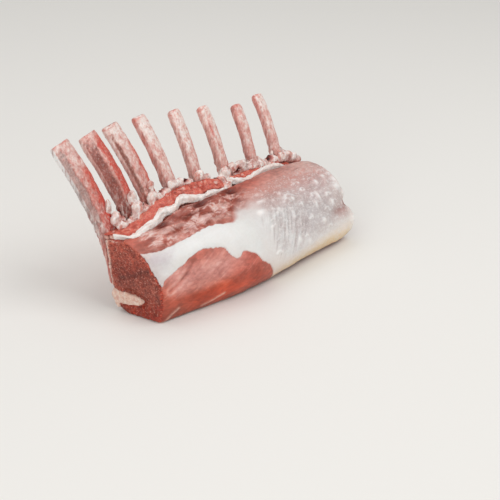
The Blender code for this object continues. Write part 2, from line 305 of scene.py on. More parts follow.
def fleshMaterial(name, look):
    made = bpy.data.materials.new(name)
    made.use_nodes = True
    tree = made.node_tree
    tree.nodes.clear()
    place = addNode(tree, "TexCoord").outputs["Object"]
    grown = addNode(tree, "Mapping", {"Vector": place, "Scale": look["stretch"]}).outputs["Vector"]
    tint = addNode(tree, "Attribute", attribute_name="tint").outputs["Color"]
    masks = addNode(tree, "Attribute", attribute_name="masks").outputs["Color"]
    mask = addNode(tree, "SeparateColor", {"Color": masks}).outputs

    def cloud(vector, size, detail, warp=0.0):
        return addNode(tree, "TexNoise", {
            "Vector": vector, "Scale": 1 / (size * mm), "Detail": detail,
            "Distortion": warp}).outputs["Fac"]

    def cut(value, low, high):
        return addNode(tree, "MapRange", {
            "Value": value, "From Min": low, "From Max": high},
            interpolation_type="SMOOTHSTEP").outputs["Result"]

    def times(one, two):
        return addNode(tree, "Math", {0: one, 1: two}, operation="MULTIPLY").outputs[0]

    def laid(colour, over, share, blend="MIX"):
        return addNode(tree, "Mix", {0: share, 6: colour, 7: over},
                       data_type="RGBA", blend_type=blend).outputs[2]

    # broad and small clouds of lighter and darker flesh
    broad = cloud(grown, look["cloudSize"], 3, 0.6)
    small = cloud(grown, look["cloudSize"] / 4, 3, 0.3)
    colour = laid(tint, cut(broad, 0.3, 0.7), look["cloudShare"], "OVERLAY")
    colour = laid(colour, cut(small, 0.3, 0.7), look["smallShare"], "OVERLAY")
    # first mask: pale flecks of cut fibres or of dried film, with darker gaps between them
    fleckCloud = cloud(grown, look["fleckSize"], 2, 0.4)
    fleck = cut(fleckCloud, *look["fleckRange"])
    share = times(times(fleck, mask["Red"]), look["fleckShare"])
    colour = laid(colour, linearColour(look["fleckColour"]), share)
    gap = cut(fleckCloud, look["fleckRange"][0] - 0.08, look["fleckRange"][0] - 0.22)
    share = times(times(gap, mask["Red"]), look["gapShare"])
    colour = laid(colour, linearColour(look["gapColour"]), share)
    # second mask: feathery silvery film
    film = cut(cloud(grown, look["filmSize"], 3, 0.5), *look["filmRange"])
    colour = laid(colour, linearColour(look["filmColour"]), times(film, mask["Green"]))
    # third mask: fresh blood in the surface
    blood = cut(cloud(grown, look["bloodSize"], 4, 0.8), *look["bloodRange"])
    colour = laid(colour, linearColour(look["bloodColour"]), times(blood, mask["Blue"]))
    rough = addNode(tree, "MapRange", {
        "Value": small, "To Min": look["gloss"][0], "To Max": look["gloss"][1]}).outputs["Result"]
    fine = cloud(grown, look["grainSize"], 3)
    bump = addNode(tree, "Bump", {
        "Height": small, "Strength": look["bump"][0], "Distance": look["bumpDepth"] * mm})
    bump = addNode(tree, "Bump", {
        "Height": fine, "Normal": bump.outputs[0], "Strength": look["bump"][1],
        "Distance": look["bumpDepth"] * 0.4 * mm})
    shader = addNode(tree, "BsdfPrincipled", {
        "Base Color": colour, "Roughness": rough, "Normal": bump.outputs[0],
        "IOR": look["ior"], "Coat Weight": look["coat"], "Coat Roughness": 0.18,
        "Subsurface Weight": look["depth"][0], "Subsurface Scale": look["depth"][1] * mm,
        "Subsurface Radius": look["depth"][2]})
    addNode(tree, "OutputMaterial", {"Surface": shader.outputs[0]})
    return made


# Raw lean lamb, cut and trimmed with a knife: dark red-brown where it was cut across, with
# pale fibre ends; salmon under its own thin silvery skin; moist, so it has a soft gloss.
leanLook = {
    "stretch": (0.55, 1.0, 1.0), "cloudSize": 9.0, "cloudShare": 0.22, "smallShare": 0.16,
    "fleckSize": 1.0, "fleckRange": (0.57, 0.71), "fleckColour": "#c88d7e", "fleckShare": 0.8,
    "filmSize": 9.0, "filmRange": (0.42, 0.8), "filmColour": "#d3aaa2",
    "bloodSize": 4.0, "bloodRange": (0.5, 0.62), "bloodColour": "#a5382b",
    "gloss": (0.34, 0.56), "grainSize": 0.7, "bump": (0.25, 0.3), "bumpDepth": 0.5, "ior": 1.4, "coat": 0.08,
    "depth": (0.12, 1.5, (1.0, 0.3, 0.2)), "gapColour": "#5e2219", "gapShare": 0.7,
}
# Chilled lamb fat with its skin on: opaque white, faintly waxy, with lilac where it is thin.
fatLook = {
    "stretch": (0.8, 1.0, 1.0), "cloudSize": 7.0, "cloudShare": 0.05, "smallShare": 0.05,
    "fleckSize": 1.2, "fleckRange": (0.55, 0.66), "fleckColour": "#efecea", "fleckShare": 0.8,
    "filmSize": 3.0, "filmRange": (0.45, 0.7), "filmColour": "#e9e5e3",
    "bloodSize": 3.0, "bloodRange": (0.5, 0.66), "bloodColour": "#c98a80",
    "gloss": (0.32, 0.5), "grainSize": 0.8, "bump": (0.18, 0.22), "bumpDepth": 0.4, "ior": 1.42, "coat": 0.1,
    "depth": (0.15, 2.0, (1.0, 0.7, 0.6)), "gapColour": "#b09c9a", "gapShare": 0.2,
}
# Rib bone scraped with a knife: pale, pink with marrow showing through, with smears of blood.
boneLook = {
    "stretch": (1.0, 1.0, 0.4), "cloudSize": 4.0, "cloudShare": 0.16, "smallShare": 0.18,
    "fleckSize": 0.9, "fleckRange": (0.52, 0.66), "fleckColour": "#e6d9d3", "fleckShare": 0.45,
    "filmSize": 2.6, "filmRange": (0.46, 0.66), "filmColour": "#e2d2cb",
    "bloodSize": 2.4, "bloodRange": (0.46, 0.6), "bloodColour": "#c5473a",
    "gloss": (0.34, 0.54), "grainSize": 0.6, "bump": (0.2, 0.18), "bumpDepth": 0.4, "ior": 1.45, "coat": 0.08,
    "depth": (0.06, 1.2, (1.0, 0.5, 0.4)), "gapColour": "#b06055", "gapShare": 0.3,
}
# Meat and membrane left between the ribs: wet, ragged, half fat and half muscle.
tissueLook = {
    "stretch": (1.0, 1.0, 0.7), "cloudSize": 5.0, "cloudShare": 0.22, "smallShare": 0.2,
    "fleckSize": 0.9, "fleckRange": (0.54, 0.66), "fleckColour": "#ead6cf", "fleckShare": 0.7,
    "filmSize": 3.0, "filmRange": (0.46, 0.64), "filmColour": "#e5ccc3",
    "bloodSize": 3.0, "bloodRange": (0.46, 0.62), "bloodColour": "#b8443a",
    "gloss": (0.3, 0.5), "grainSize": 0.6, "bump": (0.35, 0.3), "bumpDepth": 0.5, "ior": 1.4, "coat": 0.12,
    "depth": (0.12, 1.6, (1.0, 0.4, 0.3)), "gapColour": "#a5564a", "gapShare": 0.3,
}
leanMeat = fleshMaterial("rawLeanLamb", leanLook)
chilledFat = fleshMaterial("chilledLambFat", fatLook)
scrapedBone = fleshMaterial("scrapedRibBone", boneLook)
moistTissue = fleshMaterial("moistMembrane", tissueLook)


# ---- loin

loinValues = {
    "voxel": 0.85, "swell": 0.2, "rounding": 9,
    "wander": (26.0, 0.5),            # size and height of the slow swell of the surface
    "nearRim": (4, 9),                # the outline of each end is read between these places along
    "farRim": (178, 186),
    "farDome": (10.0, 3.4),           # the far end is rounded over this reach, by this much
    "farLobe": (6.0, 17.0, 0.9),      # round this turn, this far, it keeps its corner by this share
    "farNotch": (34.0, 10.0, 3.6),    # round this turn, this far, it is drawn in this much more
    "coverSink": 0.9,                 # the meat lies this much lower under its fat
    "pitLimit": 100,                  # no pit reaches beyond this turn
    # where zones begin, are full, fade and end: by turn, and along
    "upperZone": ((58, 72, 94, 104), (4, 12, 90, 108)),
    "ovalZone": (2, 14, 40, 46),
    # along, turn, length, width, depth; the pits are also darkened with painted shade
    "pits": ((27, 87.5, 8.0, 3.4, 2.8), (64, 90.5, 9.5, 3.2, 2.8), (95.5, 92, 6.0, 3.4, 2.4),
             (93.5, 80, 3.6, 2.8, 1.0), (52, 84, 10.0, 1.8, 1.0)),
    "dents": ((173, 27.5, 9.0, 6.0, 3.0), (189, 34, 11.0, 6.5, 3.6)),
    # satin patches of thin skin: along, turn, length, width, strength
    "satin": ((57, 75, 9, 3.2, 0.8), (66, 69, 8, 2.6, 0.7), (25, 80, 7, 2.6, 0.8), (17, 84, 6, 2.6, 0.7),
              (40, 72, 8, 2.0, 0.5), (12, 72, 6, 3.0, 0.5), (76, 64, 7, 4.0, 0.8), (80, 80, 8, 2.4, 0.6),
              (36, 79, 5, 2.2, 0.5), (70, 80, 6, 1.8, 0.5)),
    "ovalCrease": ((6, 22), (14, 27), (22, 34), (31, 41)),      # along, turn
    "faceCrease": ((33, 27), (27, 29.8), (21, 33), (16, 36.5), (11, 38)),      # across, up
    "lowerFace": ((10, 38), (16, 36.5), (21, 33), (27, 29.8), (33, 27)),       # its upper edge
    "footStreaks": (((2, -24), (8, -11), (12, -5)), ((32, -12), (41, -8), (49, -3))),
    "blotches": ((3, 7, 4.5), (1, 2, 4), (10, 1, 3.5), (38, 55, 3)),      # across, up, radius on the near cut
    # colours of the skinned side by along and turn; the palest salmon on the oval, near turn 28 between 12
    # and 48 along, is a painted sheen
    "surface": (
        (0, ((-25, "#8f3f2e"), (0, "#a04a38"), (18, "#b4553f"), (28, "#c06a58"), (45, "#c48a80"),
             (70, "#b66657"), (88, "#b15a4a"))),
        (12, ((-25, "#94432f"), (-6, "#a5523f"), (7, "#a94e3a"), (18, "#c98277"), (28, "#cf8d82"),
              (42, "#cf8f85"), (66, "#b86f62"), (80, "#a85b4c"), (92, "#9a4c3e"))),
        (30, ((-25, "#a4523d"), (-8, "#b04a32"), (6, "#c04c30"), (13, "#c47566"), (26, "#d1968c"),
              (36, "#ca857a"), (45, "#b9604f"), (64, "#c28177"), (75, "#b16e62"), (90, "#9c5143"))),
        (48, ((-25, "#a4523d"), (-5, "#c24e32"), (8, "#c85235"), (17, "#c98277"), (30, "#d0938a"),
              (39, "#c4796c"), (47, "#b75f4e"), (64, "#c07a6e"), (78, "#b16e62"), (92, "#96493c"))),
        (62, ((-20, "#a4523d"), (0, "#c85235"), (11, "#b85340"), (20, "#c47467"), (30, "#c98277"),
              (64, "#bc6d5e"), (80, "#b06557"), (94, "#97493c"))),
        (76, ((-20, "#a04b36"), (-5, "#c85235"), (8, "#b9533f"), (18, "#bf6455"), (30, "#c0685a"),
              (62, "#b9685a"), (76, "#b06254"), (92, "#8f4437"))),
        (90, ((-20, "#a84a35"), (0, "#b9533f"), (10, "#c06a58"), (66, "#bd7c70"), (80, "#bf766a"),
              (92, "#8f4437"))),
        (108, ((-20, "#c58f7f"), (10, "#c99a90"), (70, "#ce9f96"), (84, "#c6887d"), (94, "#a8584b"))),
        (140, ((-20, "#caa294"), (10, "#c99a90"), (70, "#c79b93"), (84, "#c6978e"), (94, "#bd8075"))),
        (165, ((-20, "#d0ad9e"), (10, "#cda096"), (70, "#cba49d"), (84, "#cda69e"), (94, "#c89d94"))),
        (190, ((-20, "#d8b8a8"), (10, "#cfa9a0"), (70, "#cba6a0"), (90, "#cbaaa3")))),
    # the near cut: each shade is laid over the last with its own strength
    "middle": "#933826",
    # the two crease shades are painted shade in the crease between the two muscles of the cut
    "cut": {
        "upper": ("#b04e3b", 1), "lower": ("#a04c3b", 0.8), "strap": ("#9a2e17", 1),
        "creaseShade": ("#6a2a20", 0.35), "creaseLine": ("#6a2a20", 0.9), "rim": ("#c64026", 1),
        "gaps": ("#6d2a1f", 0.5), "fibreEnds": ("#b5705f", 0.45), "upperEdge": ("#bd6049", 0.6),
        "topOutline": ("#e0c4b8", 0.9), "ribOutline": ("#e0c4b8", 1)},
    "farCut": "#8d4739", "farOutline": "#e3cfc6",
    # among these, the crease edge is a painted highlight on the ledge beside the oval's crease, and the
    # crease line and the pit are painted shade
    "shades": {
        "warm": ("#a8503f", 0.3), "palePatch": ("#d9aea6", 0.7), "darkPatch": ("#84301f", 0.8),
        "silver": ("#e3c8c2", 0.8), "brown": ("#913c2c", 0.5), "paleStreak": ("#dcc0ba", 0.5),
        "chine": ("#8f4a3c", 0.8), "foot": ("#96503f", 0.8), "creaseEdge": ("#e0aaa0", 0.5),
        "fibreLight": ("#dfa99e", 0.28), "fibreDark": ("#b9685a", 0.22), "creaseLine": ("#b0665a", 0.7),
        "pit": ("#5c1d12", 1)},
    "satinShade": "#dab8b1", "streakShade": ("#dcb2a3", 0.8),
}


def lineDistance(line, one, two, weight=1.0, scale=1.0):
    # distance from points (one, two) to a broken line; a step of two is worth weight mm where the
    # nearest place is sought, and scale mm in the distance itself
    nearest = np.inf
    for (a, b), (c, d) in zip(line, line[1:]):
        run = (c - a, (d - b) * weight)
        share = ((one - a) * run[0] + (two - b) * weight * run[1]) / (run[0]**2 + run[1]**2)
        share = np.clip(share, 0, 1)
        away = np.hypot(one - a - run[0] * share, (two - b - (d - b) * share) * scale)
        nearest = np.minimum(nearest, away)
    return nearest


def surfaceLine(line, section):
    # distance in mm from a line given by (along, turn), measured over the surface
    return lineDistance(line, section.along, section.turn, rack["degree"], np.radians(1) * section.reach)


def rimDepth(section, places):
    # mm inside the outline that the loin has between two places along
    chosen = (section.along > places[0]) & (section.along < places[1])
    bins = np.arange(-180, 181, 6.0)
    which = np.digitize(section.turn[chosen], bins) - 1
    reach = section.reach[chosen]
    groups = [reach[which == k] for k in range(len(bins) - 1)]
    highs = np.array([group.max() if len(group) else np.nan for group in groups])
    middles = (bins[:-1] + bins[1:]) / 2
    known = ~np.isnan(highs)
    return np.interp(section.turn, middles[known], highs[known], period=360) - section.reach


class LoinSurface(Section):
    # adds the zones of the loin's surface, as shares from 0 to 1, and depths from its rim and crease
    def __init__(self, spots, normals):
        super().__init__(spots)
        v = loinValues
        self.outer = normals[:, 1] < rack["inward"]
        self.nearCut = ramp(2.8, 1.6, self.along) * ramp(-0.3, -0.75, normals[:, 0])
        self.farCut = ramp(0.35, 0.8, normals[:, 0]) * ramp(178, 184, self.along)
        self.chine = ramp(0.3, 0.7, normals[:, 1])
        self.foot = ramp(-0.3, -0.8, normals[:, 2])
        self.upper = window(self.turn, v["upperZone"][0]) * window(self.along, v["upperZone"][1])
        self.fromFarRim = rimDepth(self, v["farRim"])
        self.crease = surfaceLine(v["ovalCrease"], self)
        self.creased = ramp(31, 20, self.along) * self.outer
        self.ridges = lumps(self.unrolled(0.3), (13.0, 3.6, 1.0), 2, 4.7)


def roundFarEnd(s, spots):
    v = loinValues
    reach, height = v["farDome"]
    turn, width, share = v["farLobe"]
    dome = height * (1 - share * bell(s.turn - turn, width))
    turn, width, drawn = v["farNotch"]
    dome += drawn * bell(s.turn - turn, width)
    dome *= ramp(rack["length"] - reach, rack["length"], s.along) * ramp(reach, 0, s.fromFarRim)
    spots[:, 0] -= dome


def loinRelief(s, spots):
    # mm by which the meat stands out
    v = loinValues
    lift = np.zeros(len(spots))
    for along, turn, length, width, depth in v["pits"]:
        lift -= depth * np.exp(-s.away(along, turn, length, width)**2 * 1.4) * (s.turn < v["pitLimit"])
    lift -= 0.8 * bell(s.crease, 1.1) * s.creased
    lift += 0.35 * bell(s.crease - 3, 2) * s.creased
    for streak in v["footStreaks"]:
        lift += 0.45 * bell(surfaceLine(streak, s), 1.2) * s.outer
    for along, turn, length, width, depth in v["dents"]:
        lift -= depth * np.exp(-1.5 * s.away(along, turn, length, width)**2) * s.outer
    lift += s.upper * s.ridges * 0.8
    fibres = lumps(s.unrolled(-0.8, 0.5), (1.6, 16.0, 1.0), 2)
    lift += ramp(46, 30, s.turn) * ramp(4, 14, s.along) * ramp(100, 85, s.along) * fibres * 0.16
    # the cuts: fibre ends, and the crease between two muscles
    lift -= s.nearCut * 0.8 * bell(s.faceCrease, 1.2)
    lift += s.nearCut * (s.fibreEnds * 0.42 + lumps(spots, 6.0, 2, 3.1) * 0.45)
    lift += s.farCut * (lumps(spots, 1.7, 2) * 0.2 + lumps(spots, 7.0, 2, 3.1) * 0.5)
    return lift


def nearCutColours(s, spots):
    v = loinValues
    above = s.up - np.interp(s.across, *zip(*v["lowerFace"]))
    depth = rimDepth(s, v["nearRim"])
    edge = depth + lumps(spots, 3.0, 2, 8.7)
    rim = ramp(5.5, 1.5, depth + lumps(spots, 3.0, 2, 1.7) * 1.5)
    ribSide = ramp(4.4, 1.4, s.wall - s.across + lumps(spots, 4.0, 2, 5.3) * 0.9)
    return layered(
        plain(v["middle"], spots), v["cut"],
        upper=ramp(34, 46, s.up + (s.across - 25) * 0.4),
        lower=ramp(2, -4, above) * ramp(16, 20, s.up),
        strap=ramp(14, 9, s.up),
        # painted shade in the crease between the two muscles, broad and fine
        creaseShade=bell(s.faceCrease, 5.0),
        creaseLine=bell(s.faceCrease, 1.4),
        rim=rim * (s.across < 24) * ramp(52, 40, s.up),
        gaps=ramp(0.0, -0.5, s.fibreEnds),
        fibreEnds=ramp(0.1, 0.55, s.fibreEnds),
        upperEdge=ramp(3.0, 1.2, edge) * ramp(36, 44, s.up) * ramp(36, 31, s.across),
        topOutline=ramp(2.6, 1.0, edge) * ramp(50, 53, s.up) * ramp(32, 35, s.across),
        ribOutline=ribSide * ramp(17, 20, s.up))


def farCutColours(s, spots):
    v = loinValues
    rim = s.fromFarRim + lumps(spots, 4.0, 2, 2.2) * 1.2
    return tinted(plain(v["farCut"], spots), v["farOutline"], ramp(4.8, 3.2, rim) * (s.turn > -30))


def loinColours(s, spots, pit):
    v = loinValues
    colours = gradient(v["surface"], s)
    colours += (nearCutColours(s, spots) - colours) * s.nearCut[:, None]
    colours += (farCutColours(s, spots) - colours) * s.farCut[:, None]
    # brushed patches of silver skin high on the side
    skinned = 1 - s.nearCut
    zone = s.upper * skinned * (0.15 + 0.85 * ramp(132, 110, s.along))
    bend = lumps(spots, 9.0, 2, 3.9)[:, None] * np.array([6.0, 4.0, 0.0])
    patches = lumps(s.unrolled() + bend, (9.0, 6.0, 1.0), 4, 7.3)
    streaks = lumps(s.unrolled(0.8) + bend, (2.4, 9.0, 1.0), 3)
    smears = lumps(s.unrolled(0.5) + bend, (3.4, 1.5, 1.0), 3, 5.9)
    colours = layered(
        colours, v["shades"],
        warm=zone,
        palePatch=zone * ramp(-0.05, 0.4, patches + streaks * 0.3),
        darkPatch=zone * ramp(0.0, -0.4, patches + s.ridges * 0.4),
        silver=zone * ramp(0.05, 0.35, smears) * ramp(-0.25, 0.2, patches),
        brown=zone * ramp(-0.1, -0.45, smears))
    for *place, share in v["satin"]:
        away = s.away(*place) + streaks * 0.8 + patches * 0.4
        colours = tinted(colours, v["satinShade"], zone * ramp(1.3, 0.3, away) * share)
    colours = layered(
        colours, v["shades"],
        paleStreak=zone * ramp(0.25, 0.6, streaks) * ramp(-0.2, 0.2, patches),
        chine=s.chine, foot=s.foot)
    shade, share = v["streakShade"]
    for streak in v["footStreaks"]:
        colours = tinted(colours, shade, bell(surfaceLine(streak, s), 1.3) * s.outer * skinned * share)
    # the oval of bare meat, with fibres that run aslant
    oval = window(s.turn, v["ovalZone"]) * ramp(96, 84, s.along) * s.outer * skinned
    over = s.arc(30)
    slanting = np.stack([s.along * 0.89 + over * 0.46, over * 0.89 - s.along * 0.46, 0 * s.up], 1)
    fibres = lumps(slanting, (16.0, 1.1, 1.0), 2, 6.6)
    # over the oval's crease: a painted highlight along the raised ledge beside it, and painted shade in the
    # crease itself
    return layered(
        colours, v["shades"],
        creaseEdge=bell(s.crease - 2.6, 0.9) * s.creased * skinned,
        fibreLight=ramp(0.1, 0.6, fibres) * oval,
        fibreDark=ramp(-0.1, -0.6, fibres) * oval,
        creaseLine=bell(s.crease, 0.9) * s.creased * skinned,
        pit=np.clip(pit, 0, 0.85) * (s.turn < v["pitLimit"]))


def makeLoin():
    v = loinValues
    mesh = fineCopy(["loin", "fat_cover", "fat_seam"], v)
    spots, normals = readMesh(mesh)
    s = LoinSurface(spots, normals)
    roundFarEnd(s, spots)
    spots += normals * (lumps(spots, v["wander"][0], 2) * v["wander"][1])[:, None]
    s.faceCrease = lineDistance(v["faceCrease"], s.across, s.up)
    s.fibreEnds = lumps(spots, 1.9, 2)
    bare = spots + normals * loinRelief(s, spots)[:, None]
    depth = coverDepth(s)[0] + lumps(spots, coverValues["ragged"][0], 2, 9.2) * coverValues["ragged"][1]
    covered = ramp(-0.6, 1.4, depth) * s.outer * (1 - s.nearCut)
    sunk = bare - normals * (covered * v["coverSink"])[:, None]
    sunk[:, 2] = np.maximum(sunk[:, 2], 0)
    writeMesh(mesh, sunk)

    # how far each point lies in a pit, where painted shade darkens it
    pit = np.zeros(len(spots))
    for *place, depth in v["pits"]:
        pit = np.maximum(pit, np.exp(-s.away(*place)**2 * 1.3) * min(1, depth / 2))
    tint = toLinear(loinColours(s, spots, pit))
    film = s.upper * 0.25 + ramp(8, 30, s.turn) * ramp(100, 80, s.along) * 0.08
    blotch = np.zeros(len(spots))
    for across, up, radius in v["blotches"]:
        blotch = np.maximum(blotch, bell(np.hypot(s.across - across, s.up - up), radius))
    paintFlesh(
        mesh, tint,
        np.clip(s.nearCut + s.farCut + s.chine * 0.5, 0, 1),
        np.clip(film * (1 - s.nearCut) * (1 - np.clip(pit * 1.3, 0, 1)), 0, 1),
        np.clip(blotch * 1.4, 0, 1) * ramp(6, 3, s.along))
    return newPiece("loinMeat", mesh, leanMeat, ["loin"]), bare, normals, tint


# ---- fat cover

coverValues = {
    # its lower edge: along, turn
    "low": ((-6, 33), (-2, 32), (1, 29), (5, 35), (15, 40), (24, 44), (32, 47), (40, 48), (47, 45),
            (55, 41.5), (58, 33), (62, 27), (65, 27.5), (69, 31), (74, 28), (79, 24), (83, 16), (89, 10),
            (95, -2), (98, -14), (102, -40), (200, -40)),
    # its upper edge: along, turn
    "high": ((-6, 74), (-1, 73), (6, 68), (14, 65), (25, 65), (37, 65), (48, 66), (60, 65), (66, 62),
             (73, 61.5), (77, 66), (82, 75), (88, 82), (101, 87), (112, 86), (123, 86), (143, 88),
             (200, 91)),
    "ragged": (3.5, 0.7),        # size and depth of the wander of its edges
    "margin": 4.0,               # it runs on under the surface this far, so that its edge is where it dives
    "dive": 1.3,                 # how deep it dives there
    "wall": 1.1,                 # its thickness
    "farEdge": 4.5,              # it wraps round the far end by this much
    # how slowly its colour starts from the upper edge: along, mm
    "softEdge": ((0, 0.8), (64, 1.0), (73, 3.5), (82, 11.0), (96, 18.0), (200, 16.0)),
    # colours of the fat by along and turn; at 180 and 190 along the darker dips near turns 28 and 36 lie in
    # the dents and are painted shade
    "colours": (
        (0, ((30, "#cfc0bd"), (42, "#cfc6c4"), (55, "#d3cac8"), (70, "#d2bdb8"))),
        (8, ((32, "#ddd0cc"), (42, "#dedad8"), (55, "#cfc8c8"), (68, "#d8d0ce"))),
        (22, ((40, "#e2ded9"), (55, "#e3e1df"), (66, "#e0dcda"))),
        (40, ((42, "#e7ddd8"), (48, "#ebe9e7"), (66, "#ebe9e7"))),
        (62, ((25, "#e6d3cb"), (32, "#eae6e3"), (62, "#ebe9e7"))),
        (80, ((15, "#e8ddd8"), (24, "#eae8e5"), (55, "#eae8e5"), (66, "#e0d5d2"), (80, "#c99a90"))),
        (95, ((-10, "#e6cfb8"), (0, "#e6d8cf"), (20, "#e6e1de"), (50, "#e3e0de"), (65, "#dcd2cf"),
              (78, "#cfa9a3"), (88, "#bd8278"))),
        (115, ((-15, "#e3c08c"), (-4, "#e5cba6"), (4, "#e4d6cc"), (10, "#dfdbda"), (35, "#dad6d5"),
               (50, "#cfc9c8"), (60, "#cdb5b1"), (70, "#c39a93"), (80, "#b8776c"), (88, "#b26b5e"))),
        (135, ((-18, "#e0b980"), (-6, "#e5c79a"), (3, "#e6d6c8"), (10, "#e2dcda"), (28, "#cfc6c6"),
               (45, "#cdc6c6"), (58, "#cdb8b5"), (70, "#c9a6a1"), (80, "#bd8278"), (92, "#b97a70"))),
        (160, ((-20, "#e2bb80"), (-5, "#e8ca9c"), (5, "#ecdccb"), (12, "#e4dcd8"), (24, "#d4c9c7"),
               (40, "#cabfbe"), (55, "#cbb4b2"), (70, "#c7a19d"), (85, "#c08880"))),
        (180, ((-20, "#e6c088"), (-4, "#ebcfa6"), (5, "#efe0d2"), (16, "#e8dfda"), (28, "#b58f89"),
               (36, "#cdb9b5"), (50, "#d8c9c5"), (70, "#d0b0ac"), (88, "#c08880"))),
        (190, ((-20, "#e8c792"), (-4, "#eed6b2"), (6, "#f0e2d5"), (22, "#eadfd9"), (36, "#d0b5af"),
               (42, "#e2d1ca"), (60, "#dcc8c3"), (85, "#cfa9a3")))),
    "wrinkles": (93, 140, 2.0, 17.0, 0.42, 0.58),     # from, to, pitch along, length, height, lean
    "blister": (132, 60, 5.2, 3.6, 1.5),              # along, turn, length, width, height
    # raised bumps that stand out: along, turn, length, width, height
    "marks": ((108, 68, 5.0, 1.8, 0.8), (110, 77, 4.0, 2.0, 0.5), (100, 58, 4.5, 3.0, 0.5),
              (181, 79, 4.5, 2.2, 1.0), (184, 64, 3.2, 3.6, 1.1), (182, 55, 4.0, 4.2, 1.3),
              (158.6, 51, 2.0, 4.4, 1.1), (153, 45, 1.8, 3.2, 0.8), (155, 26, 2.4, 3.0, 1.0),
              (147, 63.6, 1.3, 1.6, 0.8), (150, 72, 1.8, 1.2, 0.8), (149, 77.6, 2.6, 1.5, 0.9),
              (153.3, 54, 1.4, 1.4, 0.8), (158, 74, 1.3, 1.0, 0.7), (172, 87, 6.5, 1.4, 0.9),
              (134.6, 13, 2.6, 3.6, 0.9), (124.5, 18.7, 2.6, 3.0, 0.9), (119, 77, 1.6, 1.0, 0.6),
              (127.5, 69, 2.0, 1.3, 0.6), (139.7, 50, 1.2, 1.8, 0.7), (144, 35, 1.4, 2.0, 0.7),
              (145, 86, 3.0, 1.4, 0.7), (170, 40, 2.6, 3.0, 0.5), (165, 66, 2.0, 2.4, 0.7),
              (176, 70, 2.6, 2.0, 0.8), (187, 45, 3.0, 3.0, 1.0), (188, 12, 3.6, 5.0, 1.2),
              (184, 72, 3.0, 2.2, 1.0)),
    # small bumps strewn over the thin fat
    "bumps": {"count": 95, "from": (100, 12), "to": (186, 86), "radius": (0.6, 1.9), "height": (0.3, 0.8),
              "seed": 11},
    # darker and paler patches: along, turn, length, width, colour, strength
    "veil": ((5, 60, 5, 3.4, "#cbbfc2", 0.7), (11, 57, 5, 3.0, "#d3c9cc", 0.6),
             (18, 61, 4, 2.4, "#d9d1d2", 0.5), (117, 88, 9, 4, "#a8584b", 0.8),
             (95, 91, 7, 5, "#a04c3d", 0.7), (130, 87, 8, 2.4, "#b06a5e", 0.5),
             (104, 80, 6, 2.0, "#d9bab4", 0.7), (111, 76, 6, 2.6, "#e2cfcb", 0.7),
             (124, 80, 7, 2.6, "#cfa29a", 0.5), (150, 93, 10, 3.0, "#cfa69e", 0.6),
             (140, 79, 10, 3.0, "#d3b0aa", 0.5), (160, 84, 12, 3.0, "#d8b8b3", 0.6),
             (92, 70, 5, 3.0, "#c9968c", 0.5), (100, 67, 6, 4.0, "#dcc9c5", 0.6),
             (172, 80, 9, 4.0, "#d9c2be", 0.6)),
    "lip": (186.5, 2.6, 1.3),      # a swollen lip runs round the far end: along, half width, height
    "bloodSpot": (148, 82, 1.1),   # along, turn, radius
    "shades": {
        # furrow and crest are painted shade in the wrinkles' furrows and painted highlight on their crests
        "farLip": ("#e9d6cf", 0.5), "furrow": ("#b3a3a1", 0.5), "crest": ("#efebe9", 0.6),
        # the blister shade paints the bumps' whiteness, partly their own white and partly painted highlight
        "lilac": ("#b9a7a5", 0.35), "lip": ("#efe3dc", 0.6), "blister": ("#f4f1ef", 0.9),
        "blood": ("#c0453a", 0.8)},
}


def coverDepth(section):
    # mm inside the edge of the fat cover, negative outside, and the same from each edge
    scale = np.radians(1) * section.reach
    low = (section.turn - readRows(coverValues["low"], section.along)) * scale
    high = (readRows(coverValues["high"], section.along) - section.turn) * scale
    return np.minimum(low, high), low, high


def coverBumps(s, bare):
    # how high the bumps of air under the skin stand, and how white they are painted: partly the fat's own
    # white, partly painted highlight, such as the crescent and bright spot on the blister and the crescents
    # on the small bumps
    v = coverValues
    along, turn, *_, height = v["blister"]
    away = s.away(*v["blister"][:4])
    rise = height * (np.exp(-away**4) + 0.35 * bell(away - 0.85, 0.22))
    white = bell(away - 0.9, 0.25) * (s.arc(turn) > 0) * 0.8
    centre = np.hypot((s.along - along - 1.2) / 2.0, (s.arc(turn) + 1.4) / 1.6)
    white = np.maximum(white, bell(centre, 1))
    for *place, height in v["marks"]:
        away = s.away(*place) + lumps(bare, 3.0, 2, place[0]) * 0.25
        rise += height * np.exp(-away**2 * 1.6)
        white = np.maximum(white, np.exp(-away**2 * 1.4))
    bumps = v["bumps"]
    draw = np.random.default_rng(bumps["seed"])
    for _ in range(bumps["count"]):
        along = draw.uniform(bumps["from"][0], bumps["to"][0])
        turn = draw.uniform(bumps["from"][1], bumps["to"][1])
        radius = draw.uniform(*bumps["radius"]) * draw.uniform(0.6, 1.0)
        height = draw.uniform(*bumps["height"])
        length = draw.uniform(1.0, 2.0)
        crescent = draw.uniform() < 0.4
        away = np.hypot((s.along - along) / radius / length, s.arc(turn) / radius)
        shape = np.exp(-away**2 * 1.2)
        if crescent:
            shape = bell(away - 0.9, 0.4) * (s.arc(turn) > -0.3 * radius)
        rise += height * shape
        white = np.maximum(white, shape * draw.uniform(0.4, 1.0))
    return rise, white


